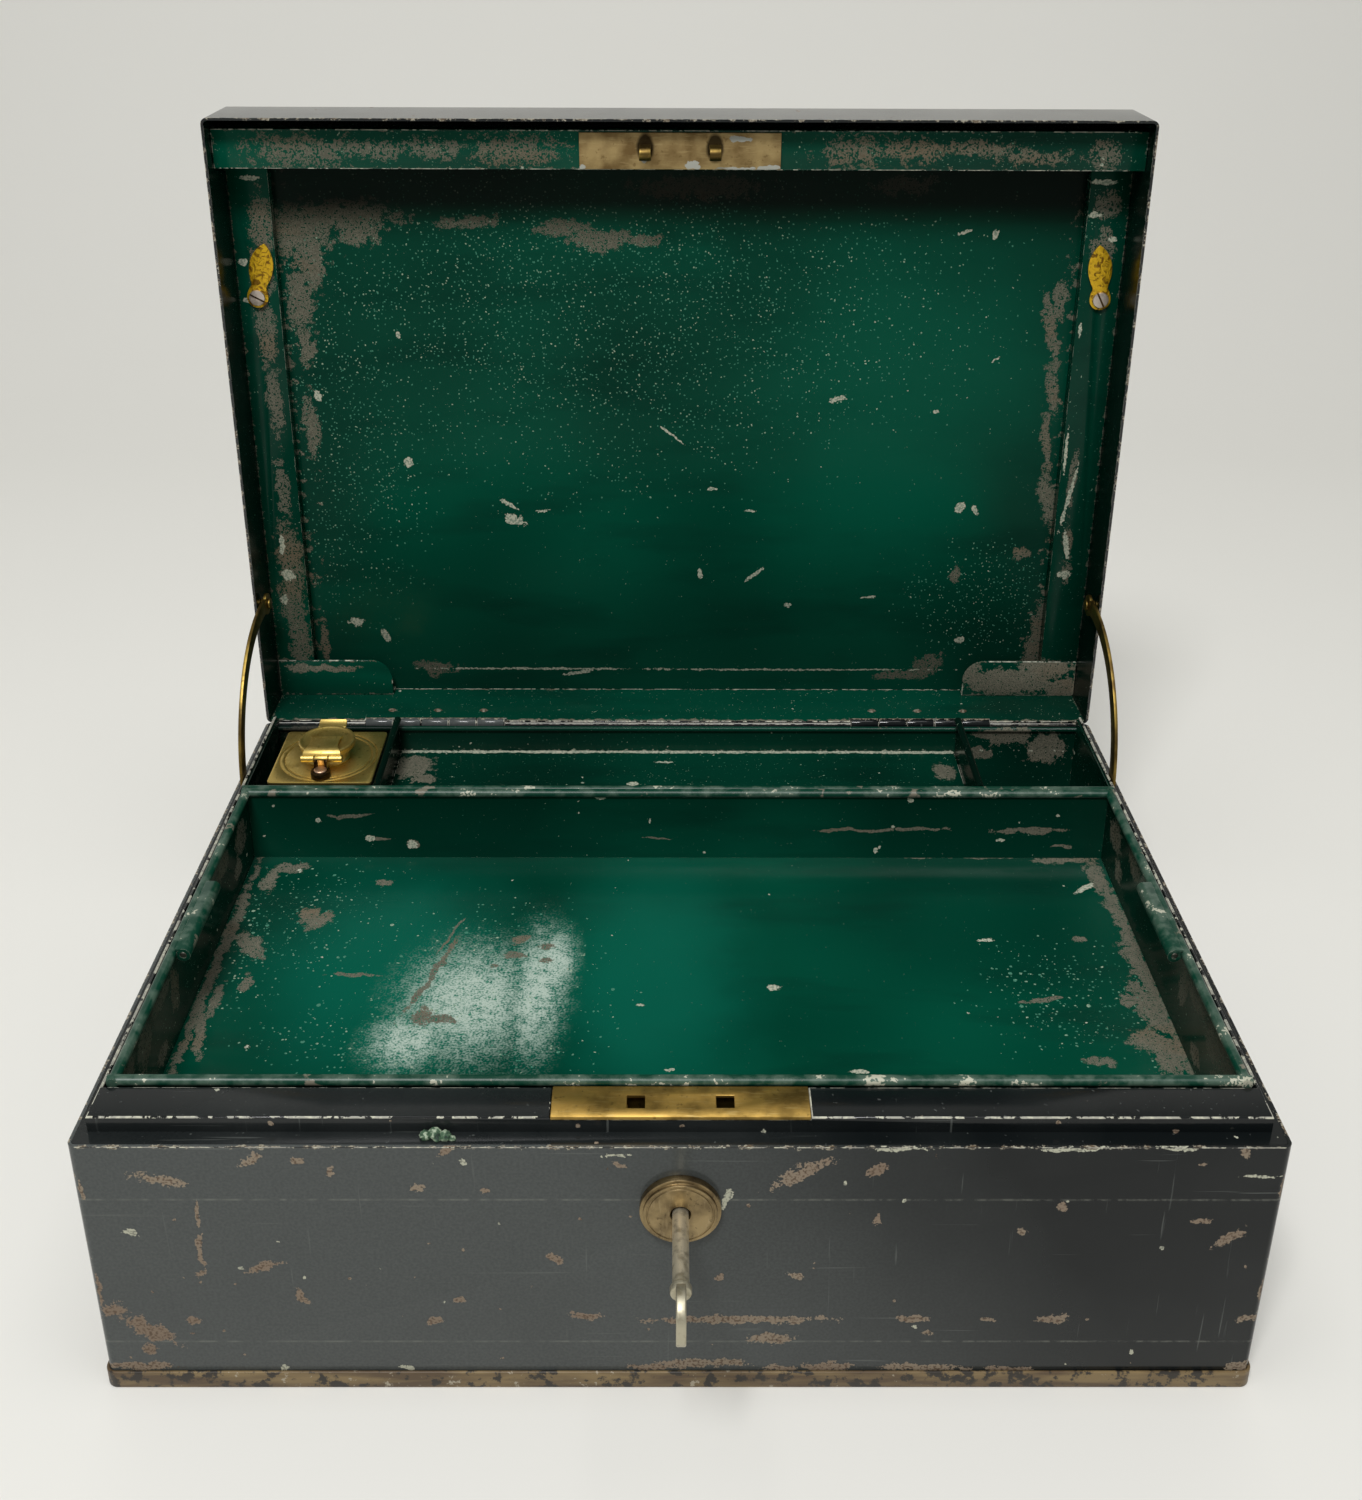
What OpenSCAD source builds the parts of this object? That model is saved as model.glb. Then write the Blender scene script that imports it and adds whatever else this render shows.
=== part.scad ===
// Japanned tin cash box, 14 by 10 by 5 inches, with a lift-out tray, a rear till,
// a travelling inkwell and a lever lock with its key.
// Origin: centre of the underside. +X right, +Y to the back, +Z up. The lid stands open.

/* [Case] */
// Width of the case over its side walls
case_w = 355.6; // [320:0.1:400]
// Depth of the case from front face to back face
case_d = 254; // [240:0.5:300]
// Height of the ledge that the closed lid stands on
ledge_z = 96; // [90:0.5:140]
// Thickness of the tinplate
sheet = 1; // [0.8:0.05:1.2]
// Outer radius of the case's upright corners
corner_r = 2.5; // [1.5:0.1:4]
// Height of the bead round the foot
bead_h = 6.5; // [4:0.1:10]
// How far the bead stands out from the walls
bead_t = 1; // [0.6:0.1:2]

/* [Collar] */
// Depth of the ledge in front of the collar
ledge_front = 6.2; // [5:0.1:8]
// Width of the ledge at each side
ledge_side = 4.4; // [4.3:0.05:6]
// Depth of the ledge at the back
ledge_back = 4; // [3.4:0.1:6]
// Height of the collar above the ledge
collar_h = 5.4; // [4.5:0.1:6.4]
// Depth of the hollow rail that holds the lock
rail_d = 12.9; // [12:0.1:14]
// How far the collar's inner walls hang below the ledge
apron_drop = 34; // [30:0.5:44]

/* [Lid] */
// Outer height of the lid
lid_h = 31; // [28:0.5:50]
// Front face of the lid to the front channel
channel_inset = 5.1; // [4.5:0.1:5.6]
// Width of the front channel
channel_w = 14.7; // [14:0.1:15]
// Rim plane to the face of the front channel
channel_face = 7.8; // [7.7:0.1:10]
// Width of each side channel
side_channel_w = 16; // [13:0.5:24]
// Rim plane to the face of the side channels
side_channel_face = 24; // [20:0.5:26]
// Width of each corner gusset
gusset_w = 50; // [35:0.5:70]
// Height of each corner gusset
gusset_h = 17; // [14:0.5:24]
// Radius of the gusset's free corner
gusset_r = 10; // [4:0.5:12]

/* [Tray] */
// Top of the tray's rim above the ledge
tray_rise = 7.4; // [6:0.1:7.5]
// Depth inside the tray
tray_depth = 31.4; // [20:0.2:34]
// Thickness of the tray's sheet
tray_sheet = 0.8; // [0.6:0.05:1]
// Radius of the rolled rim
rim_r = 1.7; // [1.4:0.05:2]
// Length of each rolled lift lip
lip_len = 40; // [20:1:60]
// Radius of each lift lip
lip_r = 2.4; // [2:0.1:3]
// Front face of the case to the middle of the lips
lip_back = 103; // [80:1:130]
// Width of the bearer under each end of the tray
bearer_w = 6; // [4:0.5:12]

/* [Till] */
// Depth of the fixed till at the back
till_d = 60.9; // [55:0.1:80]
// Top of the till's front wall and dividers above the ledge
till_rise = 6.4; // [5:0.1:7]
// Till floor below the ledge
till_drop = 38; // [36:0.5:44]
// Outer face of the case to the middle of each divider
divider_in = 57.8; // [57.4:0.2:67.8]
// Pen trough floor below the ledge
trough_drop = 10.7; // [8:0.1:20]
// Radius of the trough's front cove
trough_r = 8; // [5:0.5:9]
// Radius of the till's rolled edges
till_rim_r = 1.5; // [1.2:0.05:1.7]

/* [Hinges] */
// Outer face of the case to the middle of each hinge
hinge_in = 72.8; // [48:0.2:96]
// Length of each hinge
hinge_len = 60; // [40:1:80]
// Outer radius of the knuckles
knuckle_r = 2.2; // [2:0.1:2.5]
// Radius of the hinge pin
hinge_pin_r = 1.1; // [0.8:0.05:1.3]
// Height of each leaf from the pin
leaf_h = 16; // [12:0.5:22]
// Thickness of each leaf
leaf_t = 1.2; // [0.8:0.1:1.6]
// Radius of the hinge rivets' shanks
hinge_rivet_r = 1.4; // [1:0.1:1.6]

/* [Stays] */
// Outer radius of each quadrant stay
stay_r = 56.5; // [54:0.1:60]
// Width of the stay's strip
stay_w = 6; // [5:0.1:7]
// Thickness of the stay's strip
stay_t = 1.2; // [1:0.05:1.3]
// Outer face of the case to the outer face of the stay
stay_inset = 2.6; // [2.4:0.05:2.7]
// Gap between the collar and the stay's rivet in the closed lid
stay_rivet_gap = 2.6; // [2.6:0.1:4]
// Radius of the stay's rivet
stay_rivet_r = 1.5; // [1.2:0.1:2]
// How far the stay's foot catches under the ledge
stay_catch = 4; // [2:0.1:4.5]

/* [Lock] */
// Length of the lock's brass selvedge
selvedge_w = 76.2; // [72:0.1:90]
// Thickness of the selvedge
selvedge_t = 1.2; // [1:0.05:1.3]
// Middle of the box to the middle of each hook hole
hook_x = 13.2; // [12.5:0.1:14]
// Side of each square hook hole
hook_hole = 5.4; // [5.2:0.1:6]
// Bottom of the lock case below the ledge
lock_drop = 38; // [36:0.5:44]
// Thickness of the lock case's plates
lock_wall = 1.2; // [1:0.05:1.3]
// Key's axis below the ledge
key_drop = 22.4; // [22:0.1:22.8]
// Radius of the round part of the keyhole
keyhole_r = 3.05; // [2.9:0.05:3.2]
// Width of the keyhole's slot
keyhole_slot = 2.8; // [2.6:0.1:3]
// Radius of the drive stud's path, half the throw of the bolt
throw_r = 3.4; // [3.2:0.05:3.5]
// Thickness of the bolt
bolt_t = 2.2; // [1.8:0.1:2.2]
// Number of levers
lever_count = 4; // [3:1:4]

/* [Escutcheon] */
// Radius of the escutcheon's drum
drum_r = 12.05; // [11.5:0.05:14]
// Radius of the escutcheon's face
disc_r = 10.95; // [10.2:0.05:11.4]
// Height of the drum
drum_h = 2.4; // [1.5:0.1:4]
// Height of the face above the drum
disc_h = 1.1; // [0.6:0.1:2]

/* [Key] */
// Radius of the shank
shank_r = 2.4; // [2.2:0.05:2.5]
// Front face of the case to the collar of the key
key_collar = 31; // [24:0.5:40]
// Radius of that collar
key_collar_r = 3; // [2.8:0.1:4]
// Outer radius of the bow
bow_r = 7.1; // [6.4:0.1:10]
// Width of the metal round the bow's hole
bow_w = 2.6; // [2.2:0.1:4]
// How far the bow is drawn out upwards and downwards
bow_stretch = 1.2; // [0.5:0.1:3]
// Thickness of the bow
bow_t = 2.8; // [2:0.1:3.4]
// Reach of the bit from the key's axis
bit_r = 8.5; // [7.5:0.1:8.7]
// Thickness of the bit
bit_t = 2.2; // [1.8:0.1:2.3]

/* [Inkwell] */
// Side of the square brass plate
ink_plate = 41.5; // [38:0.1:43]
// Thickness of that plate
ink_plate_t = 1.2; // [0.8:0.1:2]
// Top of the plate above the ledge
ink_plate_rise = 6; // [4:0.1:7]
// Side of the square glass bottle
bottle_w = 38; // [34:0.5:40]
// Thickness of the glass
glass_t = 4; // [3:0.1:5]
// Radius of the bottle's mouth
mouth_r = 6; // [5:0.1:7]
// Outer radius of the neck
neck_r = 9; // [8.2:0.1:9.6]
// Height of the neck above the plate
neck_h = 5; // [4.6:0.1:6]
// Radius of the cap
cap_r = 10.5; // [10:0.1:11]
// Height of the cap at its middle
cap_h = 4.6; // [3.6:0.1:6]
// Neck's axis to the cap's hinge pin
cap_hinge_y = 12.1; // [12:0.1:13]
// Width of the cap's strap
strap_w = 13.4; // [10:0.1:15]
// Length of the cap's hinge barrel
barrel_len = 16.6; // [14:0.1:18]
// Radius of the push button
button_r = 2.6; // [2:0.1:3]
// Travel of the push button
button_travel = 1.5; // [1:0.1:2]

/* [Turn buttons] */
// Front edge of the open lid to the screws
turn_down = 73; // [54:1:104]
// Outer face of the lid to the screws
turn_in = 8.8; // [7:0.1:10.6]
// Radius of the screws' shanks
turn_screw_r = 1.26; // [1:0.02:1.5]
// Radius of the screws' heads
turn_head_r = 3.2; // [2.2:0.1:3.6]
// Length of the leaf beyond its screw
turn_len = 22; // [16:0.5:28]
// Width of the leaf
turn_w = 9.4; // [6:0.2:10]
// Thickness of the leaf
turn_t = 1.4; // [1:0.1:2]
// Lean of the left leaf towards the middle
turn_lean_left = 12; // [0:1:40]
// Lean of the right leaf towards the middle
turn_lean_right = 6; // [0:1:40]

/* [Clearances] */
// Running clearance between moving pieces
run = 0.3; // [0.2:0.05:0.35]
// Radial clearance of pins in their bores
pin_fit = 0.06; // [0.03:0.01:0.1]
// Gap between pieces that are fitted together
seam = 0.1; // [0.05:0.01:0.15]
// Gap round the lift-out tray
tray_gap = 0.8; // [0.6:0.1:1.2]

/* [Hidden] */
$fn = 96;

JAPAN = "#2f3538";
GREEN = "#0a4a3a";
BRASS = "#a08a48";
STEEL = "#8a8a84";
NICKEL = "#b8b4a0";
RUST = "#6b4f2a";
GLASS = "#9fb8b8";

cut = 1;                              // how far a cutting shape runs past a face
press = 0.02;                         // clearance of what is pressed or rolled tight
half_w = case_w / 2;
divider_x = half_w - divider_in;
hinge_x = half_w - hinge_in;
turn_x = half_w - turn_in;
turn_up = case_d - turn_down;
front_y = -case_d / 2;
back_y = case_d / 2;
inner_x = half_w - sheet;             // inner faces of the case walls
inner_front = front_y + sheet;
inner_back = back_y - sheet;

collar_x = half_w - ledge_side;       // outer face of the side collars
collar_y = front_y + ledge_front;     // outer face of the front riser
rail_y = collar_y + rail_d;           // rear face of the lock rail
well_back = back_y - ledge_back;      // inner edge of the back ledge
collar_top = ledge_z + collar_h;
apron_z = ledge_z - apron_drop;

till_front = well_back - till_d;      // front of the till's front rim
till_x = collar_x - sheet - seam;     // outer faces of the till's ends
till_rim_z = ledge_z + till_rise - till_rim_r;
till_floor = ledge_z - till_drop;
till_back_rim_r = 1.1;
divider_y0 = till_front + 2 * till_rim_r;
divider_y1 = well_back - 2 * till_back_rim_r;

tray_x = collar_x - sheet - tray_gap; // outer edge of the tray's rim
tray_y0 = rail_y + tray_gap;
tray_y1 = till_front - tray_gap;
tray_top = ledge_z + tray_rise;
tray_rim_z = tray_top - rim_r;
tray_floor = tray_top - tray_depth;
tray_wall_x = tray_x - rim_r;         // middle of the tray's side walls
tray_wall_y0 = tray_y0 + rim_r;
tray_wall_y1 = tray_y1 - rim_r;
lip_y = front_y + lip_back;
lip_lap = 0.5;
lip_clear = 1;                         // tray wall to the lip's roll
lip_low = 0.4;                         // rim's axis to the lip's axis
lip_x = tray_wall_x - tray_sheet / 2 - lip_r - lip_clear;
lip_z = tray_rim_z - lip_low;
wire_r = 1.1;
lip_fit = 0.05;

knuckles = 5;
knuckle_len = hinge_len / knuckles;
leaf_rivets = [-1, 0, 1];
leaf_rivet_pitch = hinge_len / 3;
leaf_rivet_up = leaf_h * 0.6;
rivet_head_r = 1.8 * hinge_rivet_r;
rivet_head_t = 0.9;

stay_x = half_w - stay_inset - stay_t; // inner face of the stay
stay_rivet_in = collar_h + stay_rivet_gap; // rim plane of the lid to the stay's rivet
stay_head_r = 1.5 * stay_rivet_r;
stay_mid = stay_r - stay_w / 2;
stay_end = asin(stay_rivet_in / stay_mid);
stay_eye_r = 4.5;
stay_washer = 1;                       // thickness of the rivet's heads
foot_h = 5;
head_gap = 0.2;
slot_play = 4.2;                       // room in front of the stay for its swing
seam_play = 0.5;                       // room behind it

selvedge_z = collar_top - sheet;
lock_inset = 1.1;                      // end of the selvedge to the end of the lock case
shelf_gap = 0.2;
lock_y0 = inner_front + seam;
lock_y1 = rail_y - sheet - seam;
lock_x = selvedge_w / 2 - lock_inset;
lock_z0 = ledge_z - lock_drop;
lock_shelf = ledge_z - sheet - shelf_gap;    // top of the lock body under the ledge
lock_neck_y = collar_y + sheet + seam;
staple_y = (collar_y + rail_y) / 2;    // middle of the selvedge
key_z = ledge_z - key_drop;
slot_room = 0.5;                       // end of the bit to the end of the keyhole's slot
slot_reach = bit_r + slot_room;
bolt_y0 = staple_y - bolt_t / 2;
curtain_r = 4.4;
curtain_play = 0.2;                    // between the shank and the curtain's bore
drive_disc_r = 6;
plate_t = 1.2;
curtain_y1 = bolt_y0 - run;            // rear of the curtain's disc
curtain_y0 = lock_y0 + lock_wall + run;
key_tip = curtain_y1 - plate_t - curtain_play;
bit_len = 5.2;
stud_r = 1.2;
stud_play = 0.8;
stud_wall = 2.5;                       // metal beside the stud's slot in the bolt
stud_low = 4.5;                        // key's axis to the foot of that slot's plate
stud_room = 0.5;                       // room above and below the stud
bolt_end = 10;                         // middle of the box to the free end of the bolt's bar

hook_plate_t = 1;
hook_plate_h = 13.6;
staple_w = 4.4;
staple_span = 5;
staple_t = 1.2;
staple_drop = 9.3;
staple_base = channel_face - hook_plate_t;
prong_len = 7.5;
stem_w = 4;
prong_up = 0.7;                        // staple's loop to the prong
prong_gap = 3.4;                       // prongs to the bolt's bar
bolt_up = 12.4;                        // key's axis to the foot of the bolt's bar
prong_z0 = ledge_z + staple_base - staple_drop + staple_t + prong_up;
prong_z1 = selvedge_z - 1;
bolt_bar_z0 = key_z + bolt_up;
bolt_bar_z1 = prong_z0 - prong_gap;

lever_pivot = [24, key_z + 10.9];
lever_post_r = 1.5;
lever_boss_r = 3.4;
lever_gap = 0.4;                       // end of the key to the first lever
spring_t = 0.4;
spring_h = 5;
spring_reach = 8;                      // how far the spring lies over the levers
lever_top = key_z + 12.9;
lever_belly = key_z + 6.6;
lever_left = -12;
lever_t = 1.1;
lever_pitch = 1.4;

collar_of_key_y = front_y - key_collar;
key_collar_t = 2.4;
bow_y = collar_of_key_y - key_collar_t / 2 - bow_r;
ward_first = 1.2;                      // front of the bit to its first ward cut
ward_pitch = 1.8;
ward_w = 0.9;
ward_deep = 1.6;
ward_step = 0.5;                       // how much shallower the second cut is

// Engraved rings of the escutcheon and of the inkwell's plate.
ring_depth = 0.3;
ring_w = 0.5;
ring_in = 0.9;

ink_gap_side = 0.7;
pin_up = 1;                            // foot of the cap to its hinge pin
post_back = 3.8;                       // hinge pin to the post's axis
button_low = 2.6;                      // hinge pin to the top of the button
button_proud = 0.6;                    // button above its post
ink_gap_front = 1.6;
ink_x = -(divider_x + till_rim_r + ink_gap_side + ink_plate / 2);
ink_y = till_front + 2 * till_rim_r + ink_gap_front + ink_plate / 2;
ink_z = ledge_z + ink_plate_rise;
bottle_top = ink_z - ink_plate_t;
bottle_z0 = till_floor + seam;
plate_corner_r = 1.5;
plate_ring = 1;                        // edge of the plate to its outer ring
cap_z0 = ink_z + neck_h;
pin_z = cap_z0 + pin_up;
ink_pin_y = ink_y - cap_hinge_y;
barrel_r = 1.5;
ink_pin_r = 0.7;
post_r = 3.9;
post_y = ink_pin_y - post_back;
button_z = pin_z - button_low;
cap_rim_share = 0.45;                  // upright part of the cap's height
strap_gap = 0.2;
strap_t = 0.8;                         // strap above the cap's dome
strap_end = 1;                         // neck's axis to the end of the strap
tab_w = 11;
tab_t = 1.4;
tab_out = 4.2;                         // cap to the tip of its thumb tab
tab_in = 1.5;

turn_z = side_channel_face - turn_t;
turn_gap = 0.1;                        // leaf to the channel's face
turn_eye_r = 0.45 * turn_w;
turn_neck_w = 0.6 * turn_w;
turn_head_t = 1;
turn_sink = 0.5;                       // depth of the head's slot
turn_slot_w = 0.8;
turn_shank = 2.4;                      // screw's end beyond the channel's sheet

// A box between two corners.
module block(a, b) {
    translate(a) cube(b - a);
}

// A flat rectangle with round corners, centred.
module round_rect(w, d, r) {
    square([w - 2 * r, d], center = true);
    square([w, d - 2 * r], center = true);
    for (x = [-1, 1], y = [-1, 1]) translate([x * (w / 2 - r), y * (d / 2 - r)]) circle(r);
}

// The plan of what fits inside the walls of the case or the lid, centred.
module inside_walls() {
    round_rect(case_w - 2 * (sheet + seam), case_d - 2 * (sheet + seam), corner_r - sheet);
}

// A round bar between two points that lie along one axis.
module bar_x(x0, x1, r) {
    translate([x0, 0, 0]) rotate([0, 90, 0]) cylinder(r = r, h = x1 - x0);
}

module bar_y(y0, y1, r) {
    translate([0, y1, 0]) rotate([90, 0, 0]) cylinder(r = r, h = y1 - y0);
}

// Children drawn as they lie in the closed lid: y runs back to the hinge line at 0,
// z runs up from the rim plane. They are swung up into the open lid.
module in_lid() {
    translate([0, back_y, ledge_z]) rotate([-90, 0, 0]) children();
}

// Children drawn on the right-hand side, repeated on the left.
module both_sides() {
    children();
    mirror([1, 0, 0]) children();
}

module on_side(side) {
    mirror([side < 0 ? 1 : 0, 0, 0]) children();
}

// Room for the hinge knuckles, cut from every sheet that meets at the hinge line.
module knuckle_room() {
    for (x = [-hinge_x, hinge_x])
        translate([0, back_y, ledge_z])
            bar_x(x - hinge_len / 2 - run, x + hinge_len / 2 + run, knuckle_r + run);
}

// The keyhole, cut from y0 to y1.
module keyhole(y0, y1) {
    translate([0, 0, key_z]) bar_y(y0, y1, keyhole_r);
    block([-keyhole_slot / 2, y0, key_z - slot_reach], [keyhole_slot / 2, y1, key_z]);
}

// Rivet holes of the leaves, as seen in the plane y = 0 with the hinge line at z = 0.
module leaf_rivet_places() {
    for (x = [-hinge_x, hinge_x], k = leaf_rivets)
        translate([x + k * leaf_rivet_pitch, 0, leaf_rivet_up]) children();
}

module case_shell() color(JAPAN) difference() {
    translate([0, 0, sheet]) linear_extrude(ledge_z - sheet) difference() {
        round_rect(case_w, case_d, corner_r);
        round_rect(case_w - 2 * sheet, case_d - 2 * sheet, corner_r - sheet);
    }
    knuckle_room();
    keyhole(front_y - cut, inner_front + cut);
    translate([0, back_y, ledge_z]) mirror([0, 0, 1]) leaf_rivet_places()
        bar_y(-sheet - cut, cut, hinge_rivet_r + pin_fit);
}

module base_plate() color(JAPAN)
    linear_extrude(sheet) round_rect(case_w, case_d, corner_r);

module base_bead() color(RUST)
    linear_extrude(bead_h) difference() {
        round_rect(case_w + 2 * bead_t, case_d + 2 * bead_t, corner_r + bead_t);
        round_rect(case_w + 2 * press, case_d + 2 * press, corner_r + press);
    }

module rim_frame() color(JAPAN) difference() {
    union() {
        difference() {
            translate([0, 0, ledge_z - sheet]) linear_extrude(sheet) inside_walls();
            block([-collar_x + sheet, collar_y + sheet, ledge_z - sheet - cut],
                  [collar_x - sheet, well_back, ledge_z + cut]);
        }
        block([-collar_x, collar_y, ledge_z - sheet], [collar_x, collar_y + sheet, collar_top]);
        block([-collar_x, collar_y, collar_top - sheet], [collar_x, rail_y, collar_top]);
        block([-collar_x, rail_y - sheet, apron_z], [collar_x, rail_y, collar_top]);
        both_sides() block([collar_x - sheet, collar_y, apron_z], [collar_x, well_back, collar_top]);
    }
    block([-selvedge_w / 2 - seam, collar_y - cut, selvedge_z],
          [selvedge_w / 2 + seam, rail_y + cut, collar_top + cut]);
    both_sides() block([stay_x - run, back_y - stay_r - slot_play, ledge_z - sheet - cut],
                       [stay_x + stay_t + run, back_y - stay_r + stay_w + seam_play, ledge_z + cut]);
    knuckle_room();
}

module tray_bearers() color(JAPAN) both_sides() {
    bearer_top = tray_floor - tray_sheet;
    bearer_x = collar_x - sheet - seam;
    y0 = rail_y + seam;
    y1 = till_front - seam;
    block([bearer_x - bearer_w, y0, bearer_top - sheet], [bearer_x, y1, bearer_top]);
    block([bearer_x - sheet, y0, apron_z], [bearer_x, y1, bearer_top]);
}

module till_shell() color(GREEN) {
    mid_y = till_front + till_rim_r;
    wall_y0 = mid_y - tray_sheet / 2;
    block([-till_x, wall_y0, till_floor - tray_sheet], [till_x, well_back, till_floor]);
    block([-till_x, wall_y0, till_floor - tray_sheet], [till_x, wall_y0 + tray_sheet, till_rim_z]);
    block([-till_x, well_back - tray_sheet, till_floor - tray_sheet], [till_x, well_back, ledge_z]);
    both_sides() block([till_x - tray_sheet, wall_y0, till_floor - tray_sheet],
                       [till_x, well_back, collar_top - sheet]);
    translate([0, mid_y, till_rim_z]) bar_x(-till_x, till_x, till_rim_r);
    translate([0, well_back - till_back_rim_r, ledge_z]) bar_x(-till_x, till_x, till_back_rim_r);
}

module till_divider(side) color(GREEN) on_side(side) {
    block([divider_x - tray_sheet / 2, divider_y0, till_floor],
          [divider_x + tray_sheet / 2, divider_y1, till_rim_z]);
    translate([divider_x, 0, till_rim_z]) bar_y(divider_y0, divider_y1, till_rim_r);
}

module pen_trough() color(GREEN) {
    x1 = divider_x - tray_sheet / 2 - seam;
    floor_z = ledge_z - trough_drop - tray_sheet;
    y0 = till_front + till_rim_r + tray_sheet / 2 + seam;
    y1 = well_back - tray_sheet - seam;
    block([-x1, y0 + trough_r, floor_z], [x1, y1, floor_z + tray_sheet]);
    translate([0, y0 + trough_r, floor_z + trough_r]) intersection() {
        difference() {
            bar_x(-x1, x1, trough_r);
            bar_x(-x1 - cut, x1 + cut, trough_r - tray_sheet);
        }
        block([-x1, -trough_r, -trough_r], [x1, 0, 0]);
    }
}

// One leaf and its knuckles, in the plane y = 0 with the pin at the origin and the
// leaf above it. It takes the knuckles whose number has the given remainder by two.
module leaf(odd, bore) {
    own = [for (k = [0:knuckles - 1]) if (k % 2 == odd) k];
    for (x = [-hinge_x, hinge_x]) translate([x - hinge_len / 2, 0, 0]) difference() {
        union() {
            block([0, 0, knuckle_r + run], [hinge_len, leaf_t, leaf_h]);
            for (k = own) {
                x0 = k * knuckle_len + (k == 0 ? 0 : run / 2);
                x1 = (k + 1) * knuckle_len - (k == knuckles - 1 ? 0 : run / 2);
                bar_x(x0, x1, knuckle_r);
                block([x0, 0, 0], [x1, leaf_t, leaf_h]);
            }
        }
        bar_x(-cut, hinge_len + cut, bore);
    }
}

module hinge_case_leaves() color(JAPAN) translate([0, back_y, ledge_z]) mirror([0, 0, 1])
    difference() {
        leaf(0, hinge_pin_r + press);
        leaf_rivet_places() bar_y(-cut, leaf_t + cut, hinge_rivet_r + pin_fit);
    }

module hinge_lid_leaves() color(JAPAN) in_lid() difference() {
    leaf(1, hinge_pin_r + pin_fit);
    leaf_rivet_places() bar_y(-cut, leaf_t + cut, hinge_rivet_r + pin_fit);
}

module hinge_pins() color(STEEL) translate([0, back_y, ledge_z])
    for (x = [-hinge_x, hinge_x]) bar_x(x - hinge_len / 2, x + hinge_len / 2, hinge_pin_r);

module leaf_rivets_solid() leaf_rivet_places() {
    bar_y(-sheet, leaf_t, hinge_rivet_r);
    bar_y(leaf_t, leaf_t + rivet_head_t, rivet_head_r);
}

module hinge_case_rivets() color(JAPAN)
    translate([0, back_y, ledge_z]) mirror([0, 0, 1]) leaf_rivets_solid();

module hinge_lid_rivets() color(JAPAN) in_lid() leaf_rivets_solid();

module lock_case() color(BRASS) difference() {
    union() {
        block([-lock_x, lock_y0, lock_z0], [lock_x, lock_y1, lock_shelf]);
        block([-lock_x, lock_neck_y, lock_z0], [lock_x, lock_y1, selvedge_z]);
    }
    block([-lock_x + lock_wall, lock_y0 + lock_wall, lock_z0 + lock_wall],
          [lock_x - lock_wall, lock_y1 - lock_wall, lock_shelf - lock_wall]);
    block([-lock_x + lock_wall, lock_neck_y + lock_wall, lock_z0 + lock_wall],
          [lock_x - lock_wall, lock_y1 - lock_wall, selvedge_z + cut]);
    keyhole(lock_y0 - cut, lock_y0 + lock_wall + cut);
}

module lock_selvedge() color(BRASS) difference() {
    block([-selvedge_w / 2, collar_y, selvedge_z],
          [selvedge_w / 2, rail_y, selvedge_z + selvedge_t]);
    for (x = [-hook_x, hook_x])
        block([x - hook_hole / 2, staple_y - hook_hole / 2, selvedge_z - cut],
              [x + hook_hole / 2, staple_y + hook_hole / 2, selvedge_z + selvedge_t + cut]);
}

module lock_lever_post() color(STEEL)
    translate([lever_pivot[0], 0, lever_pivot[1]])
        bar_y(lock_y0 + lock_wall, lock_y1 - lock_wall, lever_post_r);

module lock_levers() color(BRASS)
    for (k = [0:lever_count - 1])
        translate([0, key_tip - lever_gap - lever_t - k * lever_pitch, 0]) difference() {
            union() {
                block([lever_left, 0, lever_belly], [lever_pivot[0], lever_t, lever_top]);
                translate([lever_pivot[0], 0, lever_pivot[1]]) bar_y(0, lever_t, lever_boss_r);
            }
            translate([lever_pivot[0], 0, lever_pivot[1]]) bar_y(-cut, lever_t + cut, lever_post_r + pin_fit);
        }

module lock_spring() color(STEEL) {
    y1 = key_tip - lever_gap;
    y0 = y1 - (lever_count - 1) * lever_pitch - lever_t;
    x0 = -lock_x + lock_wall + seam;
    z0 = lever_top + shelf_gap;
    block([x0, y0, z0], [x0 + spring_t, y1, z0 + spring_h]);
    block([x0, y0, z0], [lever_left + spring_reach, y1, z0 + spring_t]);
}

// The bolt lies to the left of both hook holes and is thrown to the right.
module lock_bolt() color(BRASS) difference() {
    left = -hook_x - staple_w / 2 - run - prong_len - stem_w;
    slot_half = stud_r + stud_play;
    union() {
        block([left, bolt_y0, bolt_bar_z0], [bolt_end, bolt_y0 + bolt_t, bolt_bar_z1]);
        for (x = [-hook_x, hook_x]) {
            tip = x - staple_w / 2 - run;
            block([tip - prong_len - stem_w, bolt_y0, bolt_bar_z0],
                  [tip - prong_len, bolt_y0 + bolt_t, prong_z1]);
            block([tip - prong_len - stem_w, bolt_y0, prong_z0], [tip, bolt_y0 + bolt_t, prong_z1]);
        }
        block([-throw_r - slot_half - stud_wall, bolt_y0, key_z - stud_low],
              [-throw_r + slot_half + stud_wall, bolt_y0 + bolt_t, bolt_bar_z1]);
    }
    block([-throw_r - slot_half, bolt_y0 - cut, key_z - stud_r - stud_room],
          [-throw_r + slot_half, bolt_y0 + bolt_t + cut, key_z + throw_r + stud_r + stud_room]);
}

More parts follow.
